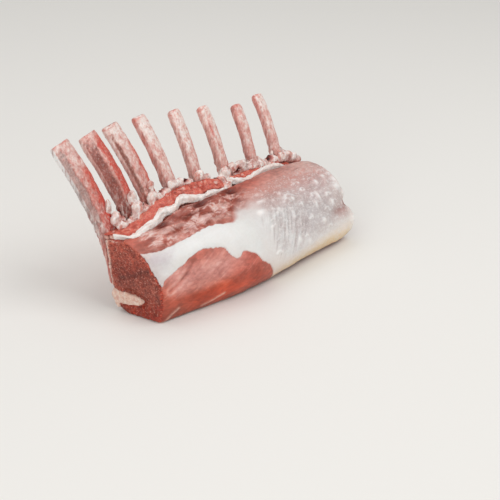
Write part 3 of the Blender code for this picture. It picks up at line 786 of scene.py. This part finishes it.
def coverColours(s, bare, fan, creases, lip, white):
    v = coverValues
    top = gradient(v["colours"], s)
    top = layered(top, v["shades"], farLip=ramp(187, 190, s.along))
    top *= 1 - 0.025 * (ramp(25, 45, s.along) * ramp(100, 85, s.along))[:, None]
    top *= 1 - 0.05 * (ramp(90, 112, s.along) * ramp(8, 24, s.turn))[:, None]
    streaks = lumps(s.unrolled(), (7.0, 2.2, 1.0), 3, 1.9)
    for *place, shade, strength in v["veil"]:
        top = tinted(top, shade, ramp(1.4, 0.3, s.away(*place) + streaks * 0.7) * strength)
    clouds = lumps(bare, 9.0, 3, 8.8) * ramp(96, 112, s.along)
    along, turn, radius = v["bloodSpot"]
    return layered(
        top, v["shades"],
        furrow=fan * ramp(0.0, -0.5, creases),
        crest=fan * ramp(0.1, 0.5, creases),
        lilac=ramp(0.0, 0.5, clouds) * ramp(8, 24, s.turn),
        lip=np.clip(lip, 0, 1),
        blister=white,
        blood=np.hypot(s.along - along, s.arc(turn)) < radius)


def makeFatCover(loin, bare, normals, under):
    # a skin over the meat, thick at its edges; its colour starts from that of the meat under it
    v = coverValues
    mesh = loin.data.copy()
    s = Section(bare)
    depth, low, high = coverDepth(s)
    onEnd = (normals[:, 0] > 0.5) & (s.along > 180)
    depth = np.where(onEnd, np.minimum(depth, v["farEdge"] - rimDepth(s, loinValues["farRim"])), depth)
    depth = np.minimum(depth, s.along + 0.8)
    depth = np.where(s.along > 99, np.minimum(depth, s.up - 2.4), depth)
    depth = depth + lumps(bare, v["ragged"][0], 2, 9.2) * v["ragged"][1]
    offset = -v["dive"] + (v["dive"] + 0.05) * ramp(-1.2, 0.9, depth) + 0.3 * ramp(0.5, 5.0, depth)
    # fine creases fan out over the thin fat
    begin, end, pitch, length, height, slant = v["wrinkles"]
    fan = window(s.along, (begin, begin + 8, end - 14, end + 6)) * window(s.turn, (4, 20, 46, 60))
    leaning = np.stack([s.along - s.arc(45) * slant, s.arc(0), 0 * s.up], 1)
    creases = lumps(leaning, (pitch, length, 1.0), 2, 2.4)
    offset += fan * creases * height
    offset += ramp(100, 120, s.along) * lumps(bare, 5.0, 3, 6.1) * 0.35
    place, width, height = v["lip"]
    lip = bell(s.along - place, width) * window(s.turn, (-14, 2, 78, 92))
    lip *= 0.75 + 0.5 * lumps(bare, 6.0, 2, 4.4)
    rise, white = coverBumps(s, bare)
    offset += rise + lip * height
    writeMesh(mesh, bare + normals * offset[:, None])

    share = ramp(0.0, 1.0, np.where(high < low, depth / readRows(v["softEdge"], s.along), depth / 0.8))
    top = toLinear(coverColours(s, bare, fan, creases, lip, white))
    paintFlesh(
        mesh, under + (top - under) * share[:, None],
        ramp(98, 112, s.along) * 0.5,
        ramp(100, 116, s.along) * ramp(80, 60, s.turn) * 0.35,
        ramp(100, 120, s.along) * ramp(60, 78, s.turn) * 0.6)
    outer = (normals[:, 1] < rack["inward"]) & (normals[:, 2] > -0.7)
    keep = outer & (depth > -v["margin"]) & ~((normals[:, 0] < -0.55) & (s.along < 2))
    bm = bmesh.new()
    bm.from_mesh(mesh)
    bmesh.ops.delete(bm, geom=[vert for vert, stay in zip(bm.verts, keep) if not stay], context="VERTS")
    keepLargest(bm)
    bmesh.ops.delete(bm, geom=[vert for vert in bm.verts if not vert.link_faces], context="VERTS")
    bm.to_mesh(mesh)
    bm.free()
    piece = newPiece("fatCover", mesh, chilledFat, ["fat_cover"])
    wall = piece.modifiers.new("wall", "SOLIDIFY")
    wall.thickness = v["wall"] * mm
    wall.offset = -1
    return piece


loin, *loinSkin = makeLoin()
print("loin", len(loin.data.polygons))
fatCover = makeFatCover(loin, *loinSkin)
print("fat cover", len(fatCover.data.polygons))


# ---- fat seam

seamValues = {
    "voxel": 0.6, "swell": 0.1, "rounding": 3,
    "squash": (12.0, 0.97),           # it is drawn in towards this height, to this share of its thickness
    "proud": 0.6,                     # its ends stand out from the cuts by this much
    "colour": "#e0bba8",
    "shades": {"pink": ("#d29c8b", 0.6), "pale": ("#ecd6c8", 0.7)},
}


def makeFatSeam():
    v = seamValues
    mesh = fineCopy(["fat_seam"], v)
    spots, normals = readMesh(mesh)
    s = Section(spots)
    middle, share = v["squash"]
    spots[:, 2] += (middle - spots[:, 2]) * (1 - share) * ramp(33, 28, s.across)
    uneven = lumps(spots, 3.8, 3, 1.3) * 0.6 + lumps(spots, 1.4, 2, 5.0) * 0.2
    ends = np.abs(normals[:, 0])
    writeMesh(mesh, spots + normals * (uneven * (1 - 0.6 * ends) + v["proud"] * ends)[:, None])
    colours = layered(
        plain(v["colour"], spots), v["shades"],
        pink=ramp(0.1, 0.6, lumps(spots, 3.0, 3, 8.0)),
        pale=ramp(0.05, 0.45, lumps(spots, 1.6, 2, 3.0)))
    paintFlesh(mesh, toLinear(colours), 0.5, 0.2, 0.15)
    return newPiece("fatSeam", mesh, chilledFat, ["fat_seam"])


fatSeam = makeFatSeam()
print("fat seam", len(fatSeam.data.polygons))


# ---- ribs
# Each rib is flat and broad, with a narrow side towards the near end. "u" runs from -1 at that
# side to 1 at the other, and "w" from -1 at the outer face to 1 at the inner one.

ribValues = {
    "voxel": 0.66, "swell": 0.35, "rounding": 3, "sharpAngle": 55, "sharpness": 0.9,
    "sliceHeight": 3.0,
    "tipLean": 2.4,                   # the cut tips fall by this towards the inner side
    "flute": 0.55,                    # depth of the shallow flute under the darker band
    "sleeve": (44, 56, 64, 80),       # scraps of meat cling to the ribs between these heights
    "foot": (46, 60),                 # the raw foot fades out between these heights
    "faceHeights": (64, 92, 117), "sideHeights": (70, 108),
    # for each rib: the colours of its face and of its side from low to high, the side's darker colours
    # partly painted shade; the colour of the ridge along its band, and the shares of pale and of red
    # mottling. The band beside the side, partly the bone's own colour and partly painted shade in the
    # flute, has how far over the face, colour, how high up, strength; the blood on the other edge has
    # how far in, from, to, strength
    "each": (
        {"face": ("#bf6359", "#c88a7f", "#dab0a7"), "side": ("#a89895", "#e6e3e1"), "ridge": "#8e4b41",
         "band": (-0.3, "#a3857f", 112, 0.85), "blood": (0.3, 58, 104, 1.5), "pale": 0.45, "red": 0.5},
        {"face": ("#a1574c", "#c98a7f", "#d9a59b"), "side": ("#8b5047", "#d8ada4"), "ridge": "#c07a6e",
         "band": (0.0, "#84453b", 110, 0.92), "blood": (0.28, 62, 120, 2.1), "pale": 0.4, "red": 0.55},
        {"face": ("#bd7a6f", "#d3a299", "#dfc4bb"), "side": ("#b5766c", "#dcc0b8"), "ridge": "#d9b8af",
         "band": (-0.38, "#81473b", 110, 0.9), "blood": (0.4, 66, 112, 0.8), "pale": 0.7, "red": 0.3},
        {"face": ("#cf958b", "#e3c3ba", "#eadad3"), "side": ("#a5675c", "#cd8378"), "ridge": "#c07a6e",
         "band": (-0.62, "#b08078", 92, 0.7), "blood": (0.6, 66, 100, 0.4), "pale": 0.8, "red": 0.25},
        {"face": ("#cb948a", "#dfc1b8", "#e9d4cc"), "side": ("#bb887e", "#dba89e"), "ridge": "#c07a6e",
         "band": (-0.8, "#c08c82", 90, 0.4), "blood": (0.5, 66, 108, 0.35), "pale": 0.75, "red": 0.25},
        {"face": ("#c88f84", "#dfbbb1", "#ebd8cf"), "side": ("#bd857a", "#e0aca2"), "ridge": "#c07a6e",
         "band": (-0.75, "#c98a80", 92, 0.4), "blood": (0.5, 66, 90, 0.4), "pale": 0.7, "red": 0.3},
        {"face": ("#cd958b", "#dfb4aa", "#e0a49a"), "side": ("#be8379", "#cf8b81"), "ridge": "#c07a6e",
         "band": (-0.7, "#c48a80", 92, 0.4), "blood": (0.5, 66, 90, 0.4), "pale": 0.6, "red": 0.3},
        {"face": ("#d7a398", "#e7c7be", "#efdcd4"), "side": ("#c38b81", "#d98f86"), "ridge": "#c07a6e",
         "band": (-0.6, "#a88881", 100, 0.45), "blood": (0.6, 66, 90, 0.3), "pale": 0.7, "red": 0.25}),
    "streak": (5, -0.35, (90, 94, 100, 104), "#c4584c"),      # one streak of blood: rib, u, heights
    "shades": {
        "pale": ("#e9e0db", 1), "red": ("#c9685d", 1), "paleGrain": ("#ead9d3", 0.5),
        "darkGrain": ("#c8776c", 0.35), "paleLine": ("#eee2dd", 0.45), "darkLine": ("#b5665b", 0.35),
        "inner": ("#c58d82", 0.6), "sideInner": ("#c98a7f", 0.6), "sidePale": ("#e6dedb", 0.4),
        "sideDark": ("#8d5a52", 0.4), "blood": ("#c0402f", 0.7), "foot": ("#c0675b", 0.75),
        "footPale": ("#dfb9ad", 0.8), "footDark": ("#a8382c", 0.75), "cutRim": ("#e1cac1", 1),
        "marrow": ("#9c3d2c", 1), "marrowDark": ("#6e2118", 0.7), "cutEdge": ("#c8665a", 0.5)},
}


def ribPlaces(spots):
    # u and w of each point, and which way the rib points at its top
    step = ribValues["sliceHeight"]
    up = spots[:, 2]
    levels = np.arange(up.min(), up.max(), step)
    which = np.clip(np.digitize(up, levels) - 1, 0, len(levels) - 1)
    parts = [spots[which == k, :2] for k in range(len(levels))]
    middles = np.array([part.mean(axis=0) for part in parts])
    halves = np.array([np.ptp(part, axis=0) / 2 for part in parts])
    u, w = [(spots[:, k] - np.interp(up, levels + step / 2, middles[:, k]))
            / np.interp(up, levels + step / 2, halves[:, k]) for k in range(2)]
    run = middles[-2] - middles[-5]
    return u, w, np.array(Vector((*run, 3 * step)).normalized())


def byHeight(shades, heights, up):
    table = np.array([srgb(shade) for shade in shades])
    return np.stack([np.interp(up, heights, table[:, k]) for k in range(3)], 1)


def makeRib(index):
    v = ribValues
    own = v["each"][index]
    node = f"rib_{index + 1}"
    mesh = fineCopy([node], v)
    spots, normals = readMesh(mesh)
    shift = index * 3.7
    up = spots[:, 2]
    tall = up.max()
    u, w, axis = ribPlaces(spots)
    tip = ramp(0.6, 0.85, normals @ axis) * ramp(tall - 12, tall - 7, up)
    fromTip = tall - up + 3 * u
    shaft = 1 - tip
    side = ramp(-0.4, -0.8, normals[:, 0]) * shaft
    outer = ramp(0.2, -0.2, w)
    begin, full, last, end = v["sleeve"]
    sleeve = ramp(end, last, up + lumps(spots, 5.0, 2, shift + 2) * 6) * ramp(begin, full, up)
    foot = ramp(v["foot"][1], v["foot"][0], up)
    streaks = lumps(spots, (1.6, 1.6, 15.0), 3, shift)
    over, shade, height, strength = own["band"]
    wavy = u + lumps(spots, (3.0, 3.0, 12.0), 2, shift + 7) * 0.14
    groove = bell(u - (over - 1) / 2, 0.1 + (over + 1) / 3)
    groove *= ramp(0.1, -0.2, w) * ramp(30, 40, up) * ramp(4, 14, fromTip)
    lift = lumps(spots, (2.4, 2.4, 18.0), 2, shift) * 0.24 + lumps(spots, 7.0, 2, shift) * 0.3
    lift += lumps(spots, 1.3, 2, shift) * 0.06 - groove * v["flute"] * strength
    lift += sleeve * (0.25 + lumps(spots, 3.2, 3, shift + 1) * 0.9)
    lift += foot * streaks * 0.7
    core = ramp(0.75, 0.55, np.hypot(u, (w - 0.1) * 1.1)) * tip
    lift = lift * shaft - core * (0.35 + lumps(spots, 1.0, 2, shift) * 0.3)
    lean = (w + 1) / 2 * v["tipLean"] * ramp(tall - 10, tall - 1.5, up)
    writeMesh(mesh, spots + normals * lift[:, None] - axis * lean[:, None])

    grains = lumps(spots, (1.1, 1.1, 1.6), 2, shift + 5)
    patches = lumps(spots, (3.2, 3.2, 8.0), 3, shift + 6)
    long = lumps(spots, (1.5, 1.5, 26.0), 2, shift + 9)
    colours = layered(
        byHeight(own["face"], v["faceHeights"], up), v["shades"],
        pale=ramp(-0.3, 0.6, patches) * own["pale"] * ramp(60, 95, up),
        red=ramp(0.0, -0.7, patches + grains * 0.4) * own["red"],
        paleGrain=ramp(0.15, 0.6, grains) * own["pale"],
        darkGrain=ramp(-0.15, -0.6, grains) * ramp(tall + 6, tall - 30, up),
        paleLine=ramp(0.15, 0.5, long) * own["pale"],
        darkLine=ramp(-0.2, -0.55, long))
    # the darker band in the shallow flute: partly the bone's own colour, partly painted shade
    band = ramp(over + 0.1, over - 0.1, wavy) * outer * ramp(height + 5, height - 5, up + streaks * 5)
    colours = tinted(colours, shade, band * strength)
    colours = layered(colours, v["shades"], inner=ramp(0.1, 0.6, w))
    # the narrow side takes its own colours, mostly darker than the face; that darkness is partly painted
    # shade
    edge = layered(
        byHeight(own["side"], v["sideHeights"], up), v["shades"],
        sideInner=ramp(0.45, 0.8, w),
        sidePale=ramp(0.15, 0.5, streaks),
        sideDark=ramp(-0.15, -0.5, streaks))
    colours += (edge - colours) * side[:, None]
    ridge = bell(wavy - over, 0.07) * outer * shaft * ramp(0.1, 0.5, streaks + 0.4)
    colours = tinted(colours, own["ridge"], ridge * ramp(height + 8, height - 6, up) * 0.6)
    rib, place, heights, shade = v["streak"]
    if index == rib:
        streak = bell(u - place, 0.22) * outer * window(up, heights) * ramp(-0.3, 0.2, patches)
        colours = tinted(colours, shade, streak * 0.8)
    over, low, high, strength = own["blood"]
    stain = ramp(over - 0.1, over + 0.35, u + patches * 0.35) * ramp(0.9, 0.3, w)
    stain *= window(up, (low, low + 10, high - 10, high)) * shaft * strength
    colours = layered(
        colours, v["shades"],
        blood=np.clip(stain, 0, 1),
        foot=foot * shaft,
        footPale=foot * ramp(0.0, 0.45, streaks),
        footDark=foot * ramp(-0.15, -0.5, streaks),
        cutRim=tip,
        marrow=core,
        marrowDark=core * ramp(0.0, 0.35, lumps(spots, 0.9, 2, shift)),
        cutEdge=ramp(2.2, 0.8, tall - up + 2.6 * u) * shaft
        * ramp(0.2, 0.5, lumps(spots, 2.5, 2, shift) + 0.4))
    paintFlesh(
        mesh, toLinear(colours),
        (0.4 * shaft + 0.2 * core) * (1 - side * 0.5),
        sleeve * 0.75,
        np.clip(stain * ramp(-0.25, 0.15, patches) + sleeve * 0.2 + foot * 0.25, 0, 1))
    return newPiece(f"rib{index + 1}", mesh, scrapedBone, [node])


ribs = [makeRib(index) for index in range(8)]
print("ribs", sum(len(rib.data.polygons) for rib in ribs))


# ---- meat and fat between the ribs
# Lumps of fat climb the feet of the ribs, with a hollow beside each lump that is darkened with painted shade.

betweenValues = {
    "voxel": 0.7, "swell": 0.3, "rounding": 4,
    "crown": (53.0, 61.0),            # above these heights it is pale and ragged
    "ragged": 0.9,
    "hollowDepth": 3.0,
    # for each gap: lumps (along, in front of the rib side, up, half sizes), hollows (along, up, radii)
    "lumps": (
        ((6.4, 2.6, 74, 2.6, 2.6, 6.4), (7.4, 4.0, 66, 4.4, 3.4, 6.0), (9.6, 4.6, 60.6, 5.6, 3.4, 3.6)),
        ((21.0, 2.6, 74, 3.6, 2.8, 6.4), (21.4, 4.2, 67, 5.8, 3.6, 6.4), (27.0, 4.2, 65, 3.8, 3.0, 3.6),
         (17.6, 4.6, 61.5, 4.8, 3.0, 3.6), (13.6, 3.8, 60, 3.4, 2.4, 2.4)),
        ((36.4, 2.4, 76.5, 3.2, 2.8, 5.4), (34.0, 4.0, 69.5, 4.8, 3.4, 6.4),
         (40.6, 3.8, 69.4, 4.6, 3.0, 3.4), (32.0, 4.2, 64, 3.6, 2.8, 3.6),
         (48.0, 2.6, 69.6, 4.4, 3.0, 3.2)),
        ((54.6, 3.6, 73, 5.4, 3.4, 5.2), (61.0, 3.2, 72, 4.4, 3.0, 4.2), (68.5, 2.4, 70, 5.0, 3.0, 3.2)),
        ((79.6, 3.6, 71.4, 5.4, 3.4, 5.8), (85.6, 2.8, 69, 4.4, 3.0, 4.0),
         (97.5, 3.6, 63.4, 5.4, 3.4, 4.4), (103.4, 3.6, 67, 5.4, 3.4, 6.2),
         (106.6, 3.6, 60.8, 3.6, 2.8, 3.8), (99.0, 7.0, 60, 5.0, 5.0, 3.6),
         (103.5, 4.6, 61, 4.0, 3.4, 3.2)),
        ((111.6, 3.0, 69, 4.0, 3.0, 4.6), (120.5, 2.6, 68.5, 6.4, 3.0, 4.0),
         (131.0, 3.0, 66, 4.8, 3.2, 5.6)),
        ((136.5, 3.4, 64, 5.4, 3.4, 4.4), (145.5, 2.4, 62, 5.6, 3.2, 3.8),
         (153.5, 2.4, 63, 5.4, 3.2, 4.0)),
        ((160.5, 3.4, 63, 5.4, 3.4, 4.6), (167.5, 3.0, 62, 5.6, 3.6, 4.6),
         (173.0, 2.6, 60, 5.6, 4.0, 4.2), (178.0, 2.0, 56, 5.0, 3.6, 3.6))),
    "hollows": (
        ((12.6, 68, 2.6, 5.4),),
        ((27.2, 71.5, 2.2, 3.8),),
        ((43.8, 73.6, 3.2, 2.8),),
        ((66, 73, 2.8, 2.0),),
        ((91.5, 66, 2.8, 3.0),),
        ((117.0, 65, 3.2, 2.4),),
        ((149.5, 66, 3.0, 2.4),),
        ()),
    "lean": "#a5483b",
    "shades": {
        "membrane": ("#cf968a", 0.7), "fat": ("#efe5e0", 1), "pink": ("#d99c90", 0.8),
        "folds": ("#b98f89", 0.55), "hollowRim": ("#b8382b", 0.8), "hollow": ("#451510", 0.9)},
}


def ball(bm, centre, sizes):
    made = bmesh.ops.create_icosphere(bm, subdivisions=2, radius=1.0)["verts"]
    bmesh.ops.scale(bm, vec=Vector(sizes) * mm, verts=made)
    bmesh.ops.translate(bm, vec=Vector(centre) * mm, verts=made)


def skewAt(along, across):
    # how far the slanted near end moves a point back along the rack
    fade = min(1, max(0, 1 - max(along, 0) / rack["skewReach"]))
    return rack["skew"] * across * fade**2


def makeIntercostal(index):
    v = betweenValues
    node = f"intercostal_{index + 1}"
    extra = bmesh.new()
    for along, ahead, up, *sizes in v["lumps"][index]:
        across = readRows(rack["ribSide"], np.array([up], float))[0] + 1.6 - ahead
        straight = along - skewAt(along, across)
        ball(extra, (straight + rack["corner"][0], across + rack["corner"][1], up), sizes)
    mesh = fineCopy([node], v, extra)
    spots, normals = readMesh(mesh)
    s = Section(spots)
    shift = index * 5.1 + 2
    crown = ramp(*v["crown"], s.up)
    pit = np.zeros(len(spots))
    for along, height, wide, high in v["hollows"][index]:
        away = np.hypot((s.along - along) / wide, (s.up - height) / high)
        pit = np.maximum(pit, ramp(1.25, 0.75, away + lumps(spots, 2.0, 2, shift) * 0.2))
    folds = 0.35 - np.abs(lumps(spots, (7.0, 7.0, 10.0), 3, shift)) * 1.5
    lift = folds * (0.4 + crown * v["ragged"]) + lumps(spots, 2.0, 2, shift) * 0.25
    spots[:, 1] += pit * v["hollowDepth"] * (normals[:, 1] < 0.3)
    writeMesh(mesh, spots + normals * lift[:, None])
    patch = lumps(spots, (4.0, 4.0, 7.0), 3, shift + 3)
    colours = layered(
        plain(v["lean"], spots), v["shades"],
        membrane=ramp(-0.2, 0.3, patch),
        fat=crown * ramp(-0.5, -0.1, patch),
        pink=crown * ramp(-0.1, -0.5, patch),
        # grey in the low parts of the folds, a painted shade
        folds=crown * ramp(0.1, -0.35, folds),
        hollowRim=pit,
        # the near-black in each hollow is painted shade
        hollow=ramp(0.5, 1.0, pit))
    paintFlesh(mesh, toLinear(colours), 0.5 * (1 - pit), (0.3 + crown * 0.35) * (1 - pit),
               np.clip(0.5 - crown * 0.35 + pit * 0.4, 0, 1))
    return newPiece(f"intercostal{index + 1}", mesh, moistTissue, [node])


between = [makeIntercostal(index) for index in range(8)]
print("between the ribs", sum(len(piece.data.polygons) for piece in between))


# ---- strips of cut flank

flankValues = {
    "voxel": 0.5, "swell": 0.35, "rounding": 2,
    # how far the strips rise and fall along the rack, averaged over the places in "easing"; they move
    # sideways with it by the first share of "sway", and upwards by the second
    "wave": ((-3, 1.6), (2, -1.0), (7, -3.0), (12, -2.2), (17.5, 0.0), (23, -0.6), (27, 0.6), (31, 2.2),
             (36.5, 1.6), (42, 0.0), (46.5, 1.6), (51.5, 3.6), (60, 1.6), (67.5, -0.8), (74, -1.2),
             (80, -0.4), (88, -1.2), (97, -1.4), (103, 4.2), (107, 2.2), (112, 0), (118, -2.0),
             (123, -2.6), (128, -1.4), (135, 0), (146, 0.5), (153, -0.3), (168, 0)),
    "easing": (-3, -1.5, 0, 1.5, 3),
    "sway": (0.9, 0.65), "waveShare": 1.1,
    "hook": (6.5, 5.0),               # the near end turns to the ribs by this, over this length
    "start": (57.5, 46, 0.8),         # above this height, up to here along, the muscle is this much lower
    "thin": (68, 73, 0.9),            # from, to, by: the near line of fat thins
    "end": (153, 160, 3.2),           # from, to, by: the far strip sinks
    "fat": "#efe7e2", "muscle": "#cf6150",
    "shades": {
        "fatLine": ("#d8c3ba", 0.6), "fatEdge": ("#e0c2b7", 0.6), "light": ("#dd8b79", 0.8),
        "lightGrain": ("#dd8b79", 0.5), "dark": ("#b14535", 0.7), "skin": ("#e2c5bb", 0.8),
        "nearEnd": ("#dcbfb3", 0.8)},
}


def makeFlank(part, kind):
    v = flankValues
    node = f"flank_{kind}_{part}"
    mesh = fineCopy([node], v)
    spots, normals = readMesh(mesh)
    s = Section(spots)
    if kind == "fat":
        lines = lumps(np.stack([s.along, s.across, s.up], 1), (14.0, 0.9, 0.9), 2, 1.0)
        lift = lines * 0.15 + lumps(spots, (4.0, 3.0, 3.0), 3, 3.0) * 0.75
        colours = layered(
            plain(v["fat"], spots), v["shades"],
            fatLine=ramp(0.1, 0.5, lines),
            fatEdge=ramp(0.15, 0.6, lumps(spots, 5.0, 3, 4.0)))
    else:
        grain = lumps(spots, (1.4, 2.4, 2.4), 2, 1.0)
        lift = grain * 0.3 + lumps(spots, 4.5, 3, 2.0) * 0.9
        colours = layered(
            plain(v["muscle"], spots), v["shades"],
            light=ramp(0.0, 0.5, lumps(spots, 3.4, 3, 6.0)),
            lightGrain=ramp(0.1, 0.5, grain),
            dark=ramp(0.0, -0.5, lumps(spots, 4.0, 3, 7.0)),
            skin=ramp(0.2, 0.55, lumps(spots, (5.0, 2.0, 2.0), 2, 9.0)) * (s.across > 42),
            nearEnd=ramp(2.6, 0.8, s.along + lumps(spots, 2.5, 2, 3.1)) * ramp(60, 57, s.up))
    spots += normals * lift[:, None]
    rise = np.mean([readRows(v["wave"], s.along + step) for step in v["easing"]], axis=0)
    rise *= v["waveShare"] * ramp(45.5, 41, s.across) * ramp(56, 59, s.up)
    spots[:, 1] += rise * v["sway"][0]
    spots[:, 2] += rise * v["sway"][1]
    spots[:, 1] += v["hook"][0] * ramp(v["hook"][1], 0, s.along) * ramp(42, 37, s.across)
    if part == "far":
        begin, end, sinking = v["end"]
        spots[:, 2] -= sinking * ramp(begin, end, s.along)
    elif kind == "fat":
        begin, end, thinning = v["thin"]
        spots -= normals * (thinning * ramp(begin, end, s.along))[:, None]
    else:
        height, end, share = v["start"]
        spots[:, 2] -= (spots[:, 2] - height).clip(0) * ramp(end, 0, s.along) * share
    writeMesh(mesh, spots)
    if kind == "fat":
        paintFlesh(mesh, toLinear(colours), 0.5, 0.3, 0.05)
        return newPiece(f"flankFat{part.capitalize()}", mesh, chilledFat, [node])
    paintFlesh(mesh, toLinear(colours), 0.45, 0.1, 0.25)
    return newPiece(f"flankMuscle{part.capitalize()}", mesh, leanMeat, [node])


flanks = [makeFlank(part, kind) for part in ("near", "far") for kind in ("fat", "muscle")]
print("flank strips", sum(len(piece.data.polygons) for piece in flanks))


# ---- floor, light and camera

stageValues = {
    "floor": "#eceae6", "world": "#f4f3f1", "worldPower": 0.46,
    "key": ((0.35, -0.75, 1.25), 1.1, 8.5), "fill": ((-1.1, -0.55, 0.55), 0.9, 4.6),
    "top": ((-0.1, 0.5, 1.3), 1.2, 5.0),
    "eye": (-0.55587, -0.60930, 0.450), "heading": (0.696, 0.718), "fall": 660 / 1251, "lens": 90.07,
    "floorDrop": 0.3,             # mm that the floor lies below the rack
}


def setStage():
    v = stageValues
    scene = bpy.context.scene
    bm = bmesh.new()
    bmesh.ops.create_grid(bm, x_segments=1, y_segments=1, size=4.0)
    mesh = bpy.data.meshes.new("floor")
    bm.to_mesh(mesh)
    bm.free()
    mesh.transform(Matrix.Translation((0, 0, -v["floorDrop"] * mm)))
    floor = bpy.data.objects.new("floor", mesh)
    scene.collection.objects.link(floor)
    paper = bpy.data.materials.new("mattPaper")
    paper.use_nodes = True
    tree = paper.node_tree
    tree.nodes.clear()
    shader = addNode(tree, "BsdfPrincipled", {"Base Color": linearColour(v["floor"]), "Roughness": 0.85})
    addNode(tree, "OutputMaterial", {"Surface": shader.outputs[0]})
    mesh.materials.append(paper)
    world = bpy.data.worlds.new("studio")
    world.use_nodes = True
    world.node_tree.nodes["Background"].inputs["Color"].default_value = linearColour(v["world"])
    world.node_tree.nodes["Background"].inputs["Strength"].default_value = v["worldPower"]
    scene.world = world
    for name in ("key", "fill", "top"):
        spot, size, power = v[name]
        lamp = bpy.data.lights.new(name, "AREA")
        lamp.shape = "DISK"
        lamp.size = size
        lamp.energy = power
        light = bpy.data.objects.new(name, lamp)
        light.location = spot
        light.rotation_euler = (-Vector(spot)).to_track_quat("-Z", "Y").to_euler()
        scene.collection.objects.link(light)
    lens = bpy.data.cameras.new("camera")
    lens.lens = v["lens"]
    lens.sensor_width = 36
    lens.clip_start = 0.01
    camera = bpy.data.objects.new("camera", lens)
    camera.location = v["eye"]
    heading = Vector((*v["heading"], 0)).normalized()
    gaze = heading - Vector((0, 0, v["fall"]))
    camera.rotation_euler = gaze.to_track_quat("-Z", "Y").to_euler()
    scene.collection.objects.link(camera)
    scene.camera = camera
    scene.view_settings.view_transform = "Standard"


setStage()
print("stage set")
